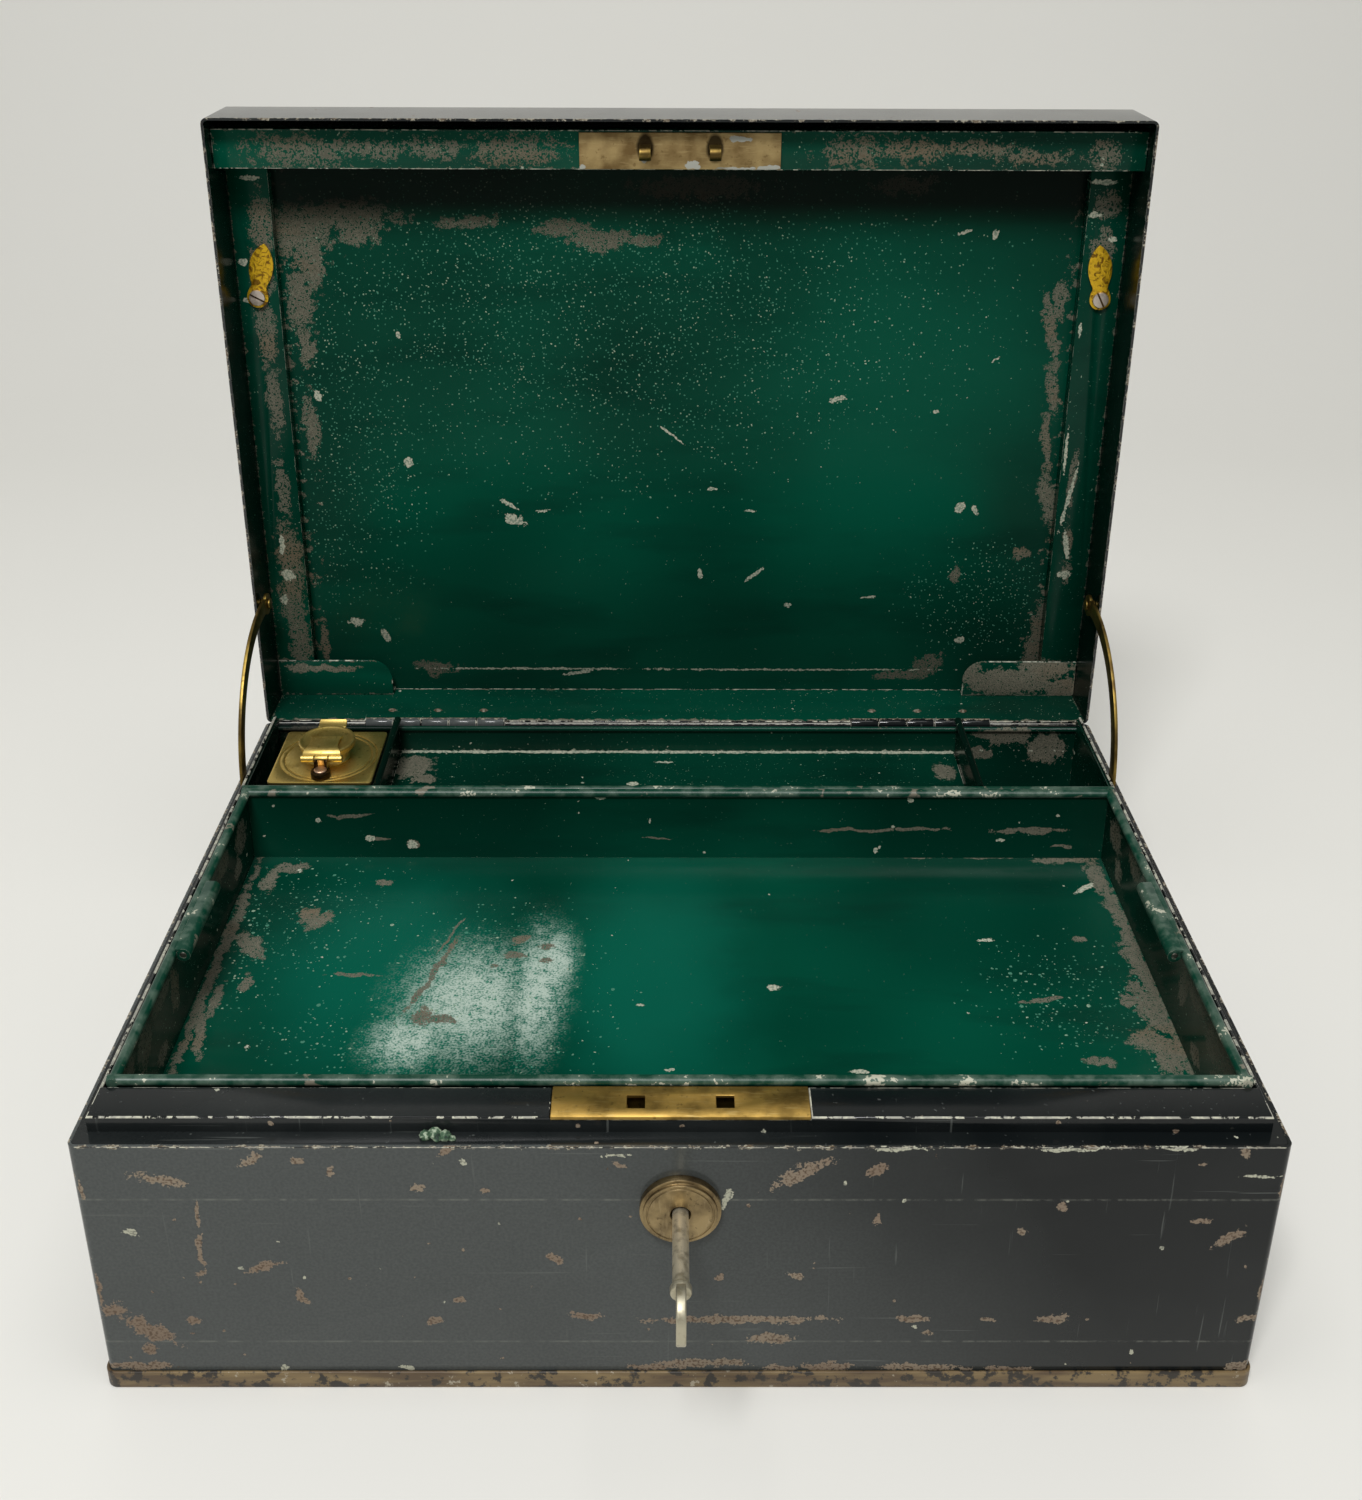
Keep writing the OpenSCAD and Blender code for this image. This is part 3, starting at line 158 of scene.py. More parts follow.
TRAY_END_BARE = (
    (-96, 95, 9, 4), (-79, 93, 8, 5.5), (-60, 96, 10, 3), (-47, 90, 4, 7), (-2, 96, 7, 3.4), (18, 95, 8, 4),
    (44, 92, 8, 6), (-88, 84, 6, 3), (36, 82, 5, 4), (-66, 78, 5, 3),
)
TRAY_WALL_PALE = (
    (-142.8, 89.2, 1.2, 1.2), (-122.8, 80.8, 2, 1.2), (-106.3, 78, 2, 1.7), (-30.9, 99.9, 2, 0.8),
    (-11.3, 89.4, 0.5, 1.2), (91.4, 98.7, 1.6, 1), (128.5, 80.3, 1.6, 0.8), (78.8, 75.5, 0.9, 1.6),
)
# The rear till: its back wall and dividers seen square on, then its floors from above.
TILL_BARE = (
    (141, 93, 12, 4.6), (160, 87, 8, 7), (131, 84, 6, 2.6), (-158, 94, 12, 4), (-104, 99.4, 8, 1),
    (36, 99.6, 12, 0.9), (92, 98.8, 7, 1.2),
)
TILL_END_PALE = ((120.8, 85.4, 1.1, 0.8),)
TILL_FLOOR_BARE = ((-112.5, 108, 8, 8), (-107, 98, 5, 3), (113, 104, 4, 6), (-114, 82, 3, 6))
TILL_FLOOR_PALE = ((-19, 94, 2.4, 1.2), (-112, 86, 1.6, 1), (41, 88, 2.8, 0.7), (-6, 112, 3.6, 0.7))


def linear(code):
    """An sRGB hex colour as linear red, green, blue and alpha."""
    parts = [int(code[i:i + 2], 16) / 255 for i in (1, 3, 5)]
    return tuple(c / 12.92 if c <= 0.04045 else ((c + 0.055) / 1.055) ** 2.4 for c in parts) + (1.0,)


def colour_property(name, description, code):
    return bpy.props.FloatVectorProperty(
        name=name, description=description, subtype="COLOR", size=4, min=0, max=1,
        default=linear(code))


def length_property(name, description, default, least, most):
    """A length, given in millimetres."""
    return bpy.props.FloatProperty(
        name=name, description=description, default=default * MM, min=least * MM, max=most * MM,
        unit="LENGTH", subtype="DISTANCE")


class CashBoxLacquer(bpy.types.PropertyGroup):
    """Colours and wear of the japanned tinplate."""

    black: colour_property("Black japan", "Outside lacquer where it is sound", "#101415")
    # Dulled black is also the grey of the painted reflection on the black lacquer.
    dulled: colour_property("Dulled black", "Outside lacquer where handling has dulled it", "#4c504f")
    green: colour_property("Green japan", "Inside lacquer where it is sound", "#013426")
    bright: colour_property("Bright green", "Inside lacquer where it has kept its colour", "#04503c")
    deep: colour_property("Deep green", "Inside lacquer where it has darkened", "#01241b")
    bare: colour_property("Bare tinplate", "Oxidised metal under the lacquer", "#726e60")
    rust: colour_property("Rust", "Brown rust in chips and along folds", "#7e6e5e")
    pale: colour_property("Pale chips", "Old size and dust in fresh chips", "#b3b3a0")
    waviness: length_property("Waviness", "Depth of the dents and waves in the sheets", 0.35, 0, 2)


class CashBoxMetals(bpy.types.PropertyGroup):
    """Colours of the brass, steel and glass fittings."""

    brass: colour_property("Aged brass", "Rubbed faces of the brass fittings", "#9c8342")
    brass_dark: colour_property("Brass patina", "Brown tarnish in the brass fittings", "#5c4a28")
    gilt: colour_property("Lacquered brass", "Gold lacquer on the turn buttons", "#dcb020")
    steel: colour_property("Steel", "Dull steel screws, pins and wires", "#a09c92")
    key: colour_property("Key steel", "Worn bright steel of the key", "#b8b29c")
    ink_glass: colour_property("Ink-stained glass", "Glass of the travelling bottle", "#8fb0b4")


class CashBoxEdges(bpy.types.PropertyGroup):
    """Radii of rounded edges."""

    sheet: length_property("Sheet edges", "Radius of the folded tinplate's edges", 0.35, 0.05, 0.45)
    plate: length_property("Brass edges", "Radius of the filed brass edges", 0.22, 0.05, 0.5)


class CashBoxStudio(bpy.types.PropertyGroup):
    """Camera, lamps and the sweep the box stands on."""

    sweep: colour_property("Sweep", "Pale paint of the floor and backdrop", "#e4e3de")
    front_watts: bpy.props.FloatProperty(
        name="Front lamp", description="Power of the softbox high in front",
        default=31, min=0, max=200, unit="POWER")
    top_watts: bpy.props.FloatProperty(
        name="Top lamp", description="Power of the wide lamp overhead",
        default=12, min=0, max=200, unit="POWER")
    sky: bpy.props.FloatProperty(
        name="Room light", description="Strength of the even light of the room", default=0.32, min=0, max=2)


# ---------------------------------------------------------------- node patterns

def add(tree, kind, inputs=None, **settings):
    """Adds one shader node with its settings; an input is a value, a node, or a node and its
    output's name."""
    node = tree.nodes.new("ShaderNode" + kind)
    for name, value in settings.items():
        setattr(node, name, value)
    for name, value in (inputs or {}).items():
        if isinstance(value, bpy.types.Node):
            source = next(o for o in value.outputs if o.enabled)
        elif isinstance(value, tuple) and isinstance(value[0], bpy.types.Node):
            source = value[0].outputs[value[1]]
        else:
            node.inputs[name].default_value = value
            continue
        tree.links.new(source, node.inputs[name])
    return node


def new_finish(name):
    """The empty node tree of a new finish, and the point on the piece in millimetres."""
    material = bpy.data.materials.new(name)
    material.use_nodes = True
    tree = material.node_tree
    tree.nodes.clear()
    where = add(tree, "TexCoord")
    return tree, add(tree, "VectorMath", {0: (where, "Object"), "Scale": 1 / MM}, operation="SCALE")


def uneven(tree, point, size, reach):
    """The point pushed about by up to half of reach, in patches of the given size."""
    patches = add(tree, "TexNoise", {"Vector": point, "Scale": 1 / size, "Detail": 3.0})
    centred = add(tree, "VectorMath", {0: (patches, "Color"), 1: (0.5, 0.5, 0.5)}, operation="SUBTRACT")
    push = add(tree, "VectorMath", {0: centred, "Scale": reach}, operation="SCALE")
    return add(tree, "VectorMath", {0: point, 1: push}, operation="ADD")


def drawing(tree, point, axes):
    """The point as it lies on a flat drawing with the two named axes."""
    split = add(tree, "SeparateXYZ", {0: point})
    return add(tree, "CombineXYZ", {0: (split, axes[0]), 1: (split, axes[1])})


def nearest(tree, flat_point, marks):
    """How far a point lies from the nearest mark, measured in that mark's own radii."""
    least = None
    for across, up, long, wide, *turn in marks:  # a mark that lies straight has no turn, and the sum is 0
        own = add(tree, "Mapping", {
            "Vector": flat_point, "Location": (across, up, 0),
            "Rotation": (0, 0, math.radians(sum(turn))), "Scale": (long, wide, 1)}, vector_type="TEXTURE")
        far = add(tree, "VectorMath", {0: own}, operation="LENGTH")
        least = far if least is None else add(
            tree, "Math", {0: least, 1: far}, operation="MINIMUM")
    return least


def dots(tree, point, spacing, share, largest=0.15):
    """Small dots about a spacing apart; share is the part of the places that hold one, and
    largest is the greatest radius as a share of the spacing."""
    cell = add(tree, "TexVoronoi", {"Vector": point, "Scale": 1 / spacing})
    draw = add(tree, "SeparateColor", {0: (cell, "Color")})
    chosen = add(tree, "Math", {0: (draw, "Red"), 1: share}, operation="LESS_THAN")
    radius = add(tree, "Math", {0: (draw, "Green"), 1: largest}, operation="MULTIPLY")
    inside = add(tree, "Math", {0: (cell, "Distance"), 1: radius}, operation="LESS_THAN")
    return add(tree, "Math", {0: chosen, 1: inside}, operation="MULTIPLY")


def edge_gap(tree, point, *nodes):
    """How far a point on a box-shaped sheet lies from the nearest edge, in millimetres."""
    low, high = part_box(nodes[0])[0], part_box(nodes[-1])[1]
    middle = tuple((a + b) / 2 / MM for a, b in zip(low, high))
    half = tuple((b - a) / 2 / MM for a, b in zip(low, high))
    centred = add(tree, "VectorMath", {0: point, 1: middle}, operation="SUBTRACT")
    out = add(tree, "VectorMath", {0: centred}, operation="ABSOLUTE")
    gaps = add(tree, "VectorMath", {0: half, 1: out}, operation="SUBTRACT")
    split = add(tree, "SeparateXYZ", {0: gaps})
    less = add(tree, "Math", {0: (split, "X"), 1: (split, "Y")}, operation="MINIMUM")
    more = add(tree, "Math", {0: (split, "X"), 1: (split, "Y")}, operation="MAXIMUM")
    third = add(tree, "Math", {0: more, 1: (split, "Z")}, operation="MINIMUM")
    return add(tree, "Math", {0: less, 1: third}, operation="MAXIMUM")


BITE = 9.0  # how many millimetres a tear at its full strength eats in from an edge
BITE_MIDDLE = 4.9


def rubbed_edges(tree, gap, tear, reach, softness):
    """1 near the edges of a sheet, torn by a pattern, reaching further in as reach grows."""
    nibble = add(tree, "Math", {0: tear, 1: -BITE, 2: gap}, operation="MULTIPLY_ADD")
    return add(tree, "MapRange", {
        "Value": nibble, "From Min": reach - BITE_MIDDLE, "From Max": reach - BITE_MIDDLE - softness},
        interpolation_type="SMOOTHSTEP")


def frayed_by(tree, tear, grit, strength):
    """A coarse pattern frayed by a finer one."""
    fray = add(tree, "Math", {0: grit, 1: strength, 2: -strength / 2}, operation="MULTIPLY_ADD")
    return add(tree, "Math", {0: fray, 1: tear}, operation="ADD")


def ragged_inside(tree, distance, grain_of_edge, raggedness):
    """1 inside a mark and 0 outside, with a torn outline."""
    tear = add(tree, "Math", {0: grain_of_edge, 1: -0.5}, operation="ADD")
    torn = add(tree, "Math", {0: tear, 1: raggedness, 2: distance}, operation="MULTIPLY_ADD")
    return add(tree, "MapRange", {
        "Value": torn, "From Min": 1.04, "From Max": 0.96}, interpolation_type="SMOOTHSTEP")


def either(tree, *masks):
    """The strongest of several masks."""
    strongest = masks[0]
    for mask in masks[1:]:
        strongest = add(tree, "Math", {0: strongest, 1: mask}, operation="MAXIMUM")
    return strongest


def laid_over(tree, under, *coats):
    """One colour with others laid over it, each where its mask is 1. A mask is a node, a
    number, or a pattern with the values between which the coat comes on, and how far."""
    for mask, over in coats:
        if isinstance(mask, tuple):
            pattern, start, full, most = mask if len(mask) == 4 else mask + (1.0,)
            mask = add(tree, "MapRange", {
                "Value": pattern, "From Min": start, "From Max": full, "To Max": most})
        under = add(tree, "Mix", {0: mask, 6: under, 7: over}, data_type="RGBA")
    return under


def surface(tree, colour, roughness, height=None, depth=0.05 * MM, **sockets):
    """The shader that ends a finish, with its relief."""
    inputs = {"Base Color": colour, "Roughness": roughness}
    inputs.update({name.replace("_", " "): value for name, value in sockets.items()})
    if height is not None:
        inputs["Normal"] = add(tree, "Bump", {"Height": height, "Distance": depth})
    shader = add(tree, "BsdfPrincipled", inputs)
    add(tree, "OutputMaterial", {"Surface": shader})


# ---------------------------------------------------------------- finishes

def black_japan(look, name, node, chips=(), pale=(), lines=(), edge_wear=0.6, painted_reflection=0.35,
                gleam=0.25, scuffed=0.0):
    """Stoved bitumen lacquer on tinplate: near black and glossy, dulled in random patches and
    greyed by a painted reflection towards the left, with brown rust in its chips, rubbed folds and the
    ghost of a gilt line."""
    tree, point = new_finish(name)
    split = add(tree, "SeparateXYZ", {0: point})
    cloud = add(tree, "TexNoise", {"Vector": point, "Scale": 1 / 60, "Detail": 4.0})
    tear = add(tree, "TexNoise", {
        "Vector": point, "Scale": 1 / 3.6, "Detail": 8.0, "Roughness": 0.72})
    grit = add(tree, "TexNoise", {"Vector": point, "Scale": 1 / 0.9, "Detail": 2.0})

    # Painted reflection: the lacquer greys towards the left and the foot of the box, standing in for the
    # bright floor it mirrors, and keeps its black at the upper right; the cloud adds dulled patches at
    # random.
    slant = add(tree, "Math", {0: (split, "Z"), 1: 0.6, 2: (split, "X")}, operation="MULTIPLY_ADD")
    handled = add(tree, "MapRange", {
        "Value": slant, "From Min": 150.0, "From Max": 15.0, "To Max": painted_reflection})
    dulling_and_reflection = add(tree, "Math", {0: cloud, 1: 0.5, 2: -0.25}, operation="MULTIPLY_ADD")
    dulling_and_reflection = add(tree, "Math", {0: dulling_and_reflection, 1: handled}, operation="ADD", use_clamp=True)
    lacquer = laid_over(tree, look.black, (dulling_and_reflection, look.dulled), ((grit, 0.35, 0.65, 0.22), look.black))

    # Hairline scratches from years of being set down and slid about.
    for scale in ((0.03, 1.0, 1.0), (0.9, 1.0, 0.04)):
        along = add(tree, "Mapping", {"Vector": point, "Rotation": (0.2, 0.3, 0.5), "Scale": scale})
        hair = add(tree, "TexNoise", {"Vector": along, "Scale": 1 / 1.4, "Detail": 2.0})
        lacquer = laid_over(tree, lacquer, ((hair, 0.7, 0.76, 0.5), linear("#5d615e")))

    # The ghost of a gilt line, left in places only.
    for height in lines:
        off = add(tree, "Math", {0: (split, "Z"), 1: -height}, operation="ADD")
        off = add(tree, "Math", {0: off}, operation="ABSOLUTE")
        ghost = add(tree, "MapRange", {"Value": off, "From Min": 0.55, "From Max": 0.1})
        left_over = add(tree, "MapRange", {
            "Value": tear, "From Min": 0.42, "From Max": 0.6, "To Max": 0.3})
        ghost = add(tree, "Math", {0: ghost, 1: left_over}, operation="MULTIPLY")
        lacquer = laid_over(tree, lacquer, (ghost, linear("#8f9186")))

    # Rubbed folds: the lacquer goes first along every edge of the sheet.
    gap = edge_gap(tree, point, node)
    rubbed = rubbed_edges(tree, gap, tear, edge_wear, 0.4)
    near_edge = add(tree, "MapRange", {"Value": gap, "From Min": 14.0, "From Max": 1.0})

    # Loose chips, thicker near the edges than in the middle of a sheet.
    likely = add(tree, "Math", {0: near_edge, 1: 0.05, 2: tear}, operation="MULTIPLY_ADD")
    chipped = add(tree, "MapRange", {
        "Value": likely, "From Min": 0.735 - scuffed, "From Max": 0.745 - scuffed},
        interpolation_type="SMOOTHSTEP")
    shaken = uneven(tree, point, 1.2, 1.6)
    fresh = dots(tree, shaken, 6.0, 0.05)
    rusty = either(tree, chipped, dots(tree, shaken, 5.0, 0.09, 0.18))
    if chips:
        face = drawing(tree, uneven(tree, point, 4.0, 3.6), "XZ")
        frayed = frayed_by(tree, tear, grit, 0.2)
        on_front = add(tree, "Math", {
            0: (split, "Y"), 1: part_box(node)[0].y / MM + 0.6}, operation="LESS_THAN")
        drawn = ragged_inside(tree, nearest(tree, face, chips), frayed, 3.4)
        spots = ragged_inside(tree, nearest(tree, face, pale), frayed, 3.0)
        rusty = either(tree, rusty, add(tree, "Math", {0: drawn, 1: on_front}, operation="MULTIPLY"))
        fresh = either(tree, fresh, add(tree, "Math", {0: spots, 1: on_front}, operation="MULTIPLY"))

    rust = laid_over(tree, look.rust, ((cloud, 0.4, 0.6), linear("#8a7d6c")),
                     ((grit, 0.5, 0.6), linear("#5c4c3e")))
    worn = laid_over(tree, linear("#5f5140"), ((grit, 0.45, 0.6), linear("#9a9484")))
    flake = laid_over(tree, look.pale, ((grit, 0.48, 0.6), linear("#7f8074")))
    colour = laid_over(tree, lacquer, (rubbed, worn), (rusty, rust), (fresh, flake))
    lost = either(tree, rubbed, rusty, fresh)
    gloss = add(tree, "MapRange", {
        "Value": cloud, "From Min": 0.3, "From Max": 0.7, "To Min": 0.08, "To Max": 0.2})
    roughness = add(tree, "Mix", {0: lost, 2: gloss, 3: 0.72})
    # Only loose chips are in the relief: listed marks would be worked out three times over.
    waves = add(tree, "TexNoise", {"Vector": point, "Scale": 1 / 60, "Detail": 1.0})
    relief = add(tree, "Math", {0: chipped, 1: -0.16, 2: waves}, operation="MULTIPLY_ADD")
    surface(tree, colour, roughness, relief, look.waviness, Specular_IOR_Level=gleam)


def green_japan(look, name, *nodes, plans=(), ragged=3.2, edge_wear=0.6, chalky=0.0, shade_and_dark_lacquer=0.0,
                shade_and_grime=(), margin=None, gleam=0.12, mottled=0.55, kept=(), brighter_colour="#04513d"):
    """Green stoved japan on tinplate: deep and glossy, worn through to brown-grey metal
    with torn outlines, peppered with pale specks where papers have rubbed it. Each plan
    is its axes and its bare, pale, dusty and bloomed marks, the bloom being crazed lacquer
    with a painted reflection over it; each band of painted shade and grime is an axis, where it
    starts, where it is full, and how dark it gets; margin is how far out across the sheet
    the wear starts to thicken and where it is thickest; mottled is how much lacquer is
    left as crumbs on the bare metal; kept marks wide patches of brighter lacquer, on the
    lid panel a painted reflection; a darkening share darkens the whole sheet: painted shade
    on walls that stand in shadow, together with the darker lacquer of some walls."""
    tree, point = new_finish(name)
    split = add(tree, "SeparateXYZ", {0: point})
    cloud = add(tree, "TexNoise", {"Vector": point, "Scale": 1 / 110, "Detail": 1.0})
    streak = add(tree, "TexNoise", {"Vector": add(tree, "Mapping", {
        "Vector": point, "Scale": (0.25, 1, 1)}), "Scale": 1 / 16, "Detail": 3.0})
    tear = add(tree, "TexNoise", {
        "Vector": point, "Scale": 1 / 4.2, "Detail": 9.0, "Roughness": 0.74})
    grit = add(tree, "TexNoise", {"Vector": point, "Scale": 1 / 0.8, "Detail": 2.0})
    bright = add(tree, "MapRange", {"Value": cloud, "From Min": 0.38, "From Max": 0.66, "To Max": 0.7})
    dark = (streak, 0.5, 0.72, 0.4)
    lacquer = laid_over(tree, look.green, (bright, look.bright), (dark, look.deep))
    # Wide soft patches of brighter lacquer; those on the lid panel are a painted reflection.
    if kept:
        own = nearest(tree, drawing(tree, uneven(tree, point, 38.0, 30.0), plans[0]["axes"]), kept)
        glow = add(tree, "MapRange", {"Value": own, "From Min": 1.45, "From Max": 0.2, "To Max": 0.75},
                   interpolation_type="SMOOTHSTEP")
        lacquer = laid_over(tree, lacquer, (glow, linear(brighter_colour)))
    # Painted shade together with darker lacquer: the whole sheet darkened by this share, on walls that
    # stand in shadow.
    if shade_and_dark_lacquer:
        lacquer = laid_over(tree, lacquer, (shade_and_dark_lacquer, linear("#050a08")))

    rubbed = rubbed_edges(tree, edge_gap(tree, point, *nodes), tear, edge_wear, 0.3)
    chip = tear
    if margin:
        out = add(tree, "Math", {0: (split, "X")}, operation="ABSOLUTE")
        out = add(tree, "MapRange", {
            "Value": out, "From Min": margin[0], "From Max": margin[1], "To Max": 0.27})
        chip = add(tree, "Math", {0: out, 1: tear}, operation="ADD")
    chip = add(tree, "MapRange", {
        "Value": chip, "From Min": 0.76 - 0.08 * chalky, "From Max": 0.77 - 0.08 * chalky})
    bare = [rubbed, chip]
    fresh = [dots(tree, uneven(tree, point, 1.2, 1.6), 5.0, 0.05 + 0.1 * chalky)]
    frayed = frayed_by(tree, tear, grit, 0.24)
    # Specks: fine and torn all over a chalky sheet, and round ones that crowd where the dust marks are.
    crowd = add(tree, "Math", {0: tear, 1: 0.35, 2: grit}, operation="MULTIPLY_ADD")
    crumbs = add(tree, "MapRange", {"Value": crowd, "From Min": mottled - 0.02, "From Max": mottled + 0.02})
    bloom, dusty = None, []
    for plan in plans:
        face = drawing(tree, uneven(tree, point, 7.0, 5.0), plan["axes"])
        if "bare" in plan:
            bare.append(ragged_inside(tree, nearest(tree, face, plan["bare"]), frayed, ragged))
        if "pale" in plan:
            close = drawing(tree, uneven(tree, point, 1.6, 1.6), plan["axes"])
            fresh.append(ragged_inside(tree, nearest(tree, close, plan["pale"]), frayed, 3.2))
        if "dust" in plan:
            away = nearest(tree, face, plan["dust"])
            density = add(tree, "MapRange", {
                "Value": away, "From Min": 1.25, "From Max": 0.0, "To Max": 2.6})
            share = add(tree, "Math", {0: density, 1: streak}, operation="MULTIPLY")
            shaken = uneven(tree, point, 1.0, 1.0)
            dusty = [dots(tree, shaken, 1.5, share, 0.3), dots(tree, shaken, 4.7, share, 0.17)]
        if "bloom" in plan:
            bloom = add(tree, "MapRange", {
                "Value": nearest(tree, face, plan["bloom"]), "From Min": 1.15, "From Max": 0.15},
                interpolation_type="SMOOTHSTEP")
    specks = either(tree, add(tree, "MapRange", {
        "Value": crowd, "From Min": 0.925 - 0.05 * chalky, "From Max": 0.95 - 0.05 * chalky}), *dusty)
    speck_colour = laid_over(tree, linear("#3f7a65"), ((tear, 0.5, 0.6), linear("#9aab93")))
    if bloom is not None:
        # Bloom: a painted reflection, a veil of brighter green, over crazed lacquer, fine pale cracks that
        # thicken towards the middle of the bloom.
        brushed = add(tree, "TexNoise", {"Vector": add(tree, "Mapping", {
            "Vector": point, "Scale": (1, 0.12, 1)}), "Scale": 1 / 5, "Detail": 3.0})
        thick = add(tree, "Math", {0: brushed, 1: 0.7, 2: -0.35}, operation="MULTIPLY_ADD")
        thick = add(tree, "Math", {0: thick, 1: bloom}, operation="ADD")
        cracks = add(tree, "Math", {0: tear, 1: grit}, operation="ADD")
        cracks = add(tree, "Math", {0: thick, 1: 0.24, 2: cracks}, operation="MULTIPLY_ADD")
        crazed = add(tree, "MapRange", {"Value": cracks, "From Min": 1.0, "From Max": 1.3, "To Max": 0.95})
        crazing_and_sheen = add(tree, "Math", {0: bloom, 1: crazed}, operation="MULTIPLY")
        painted_sheen = add(tree, "Math", {0: bloom, 1: 0.55}, operation="MULTIPLY")
        lacquer = laid_over(tree, lacquer, (painted_sheen, linear("#1f7a66")), (crazing_and_sheen, linear("#b4c4b8")))

    lost = add(tree, "Math", {0: either(tree, *bare), 1: crumbs}, operation="MULTIPLY")
    flakes = either(tree, *fresh)
    metal = laid_over(tree, look.bare, ((grit, 0.44, 0.6), linear("#56564a")),
                      ((streak, 0.52, 0.7, 0.3), linear("#785c40")))
    flake = laid_over(tree, look.pale, ((grit, 0.46, 0.58), linear("#7d8a7a")))
    colour = laid_over(tree, lacquer, (specks, speck_colour), (lost, metal), (flakes, flake))
    # Bands darkened along an axis: painted shade, such as the shadow under the lid's front channel and the
    # darkening towards the panel's foot, with grime in the till.
    for axis, start, full, strength in shade_and_grime:
        shade_and_grime_mask = add(tree, "MapRange", {
            "Value": (split, axis), "From Min": float(start), "From Max": float(full), "To Max": strength},
            interpolation_type="SMOOTHSTEP")
        colour = laid_over(tree, colour, (shade_and_grime_mask, linear("#060a07")))
    gone = either(tree, lost, flakes, specks)
    gloss = add(tree, "MapRange", {
        "Value": streak, "From Min": 0.3, "From Max": 0.7, "To Min": 0.14, "To Max": 0.28})
    roughness = add(tree, "Mix", {0: gone, 2: gloss, 3: 0.66})
    waves = add(tree, "TexNoise", {"Vector": point, "Scale": 1 / 55, "Detail": 1.0})
    relief = add(tree, "Math", {0: tear, 1: 0.025, 2: waves}, operation="MULTIPLY_ADD")
    surface(tree, colour, roughness, relief, look.waviness, Specular_IOR_Level=gleam)


def worn_roll(look, name):
    """The rolled edge of a green japanned tray: grey where hands have rubbed the roll, green
    in places, and chipped to pale size along its crown."""
    tree, point = new_finish(name)
    tear = add(tree, "TexNoise", {"Vector": point, "Scale": 1 / 13, "Detail": 9.0, "Roughness": 0.64})
    grit = add(tree, "TexNoise", {"Vector": point, "Scale": 1 / 1.1, "Detail": 2.0})
    greyed = (tear, 0.46, 0.56, 0.9)
    bared = (tear, 0.39, 0.37)
    chips = add(tree, "Math", {0: grit, 1: 0.3, 2: tear}, operation="MULTIPLY_ADD")
    chips = (chips, 0.765, 0.775)
    colour = laid_over(tree, linear("#0a3a2b"), (greyed, linear("#4a5f52")), (bared, look.bare),
                       (chips, look.pale))
    surface(tree, colour, 0.34, tear, 0.06 * MM, Specular_IOR_Level=0.3)


def rubbed_fold(name, lacquer, metal, worn):
    """The crown of a fold in japanned tinplate: lacquer in places, rubbed metal in others."""
    tree, point = new_finish(name)
    tear = add(tree, "TexNoise", {"Vector": point, "Scale": 1 / 6, "Detail": 7.0, "Roughness": 0.66})
    grit = add(tree, "TexNoise", {"Vector": point, "Scale": 1 / 1.5, "Detail": 2.0})
    gone = add(tree, "MapRange", {
        "Value": tear, "From Min": 0.7 - worn * 0.4, "From Max": 0.72 - worn * 0.4})
    bared = laid_over(tree, metal, ((grit, 0.5, 0.62), linear("#c2c1ae")))
    colour = laid_over(tree, lacquer, (gone, bared))
    rough = add(tree, "Mix", {0: gone, 2: 0.16, 3: 0.5})
    surface(tree, colour, rough, tear, 0.03 * MM)


def rubbed_bead():
    """Brown japan rubbed to rust and old gold size where hands and shelves touch the foot."""
    tree, point = new_finish("Rubbed japan bead")
    long = add(tree, "Mapping", {"Vector": point, "Scale": (0.12, 0.12, 1)})
    run = add(tree, "TexNoise", {"Vector": long, "Scale": 1 / 3.5, "Detail": 5.0})
    tear = add(tree, "TexNoise", {"Vector": point, "Scale": 1 / 5, "Detail": 7.0, "Roughness": 0.65})
    gold = (run, 0.4, 0.62)
    dark = (tear, 0.53, 0.58)
    pale = (tear, 0.37, 0.34)
    colour = laid_over(tree, linear("#54422b"), (gold, linear("#7e6a46")), (dark, linear("#272119")),
                       (pale, linear("#a39a86")))
    surface(tree, colour, 0.42, tear, 0.1 * MM)


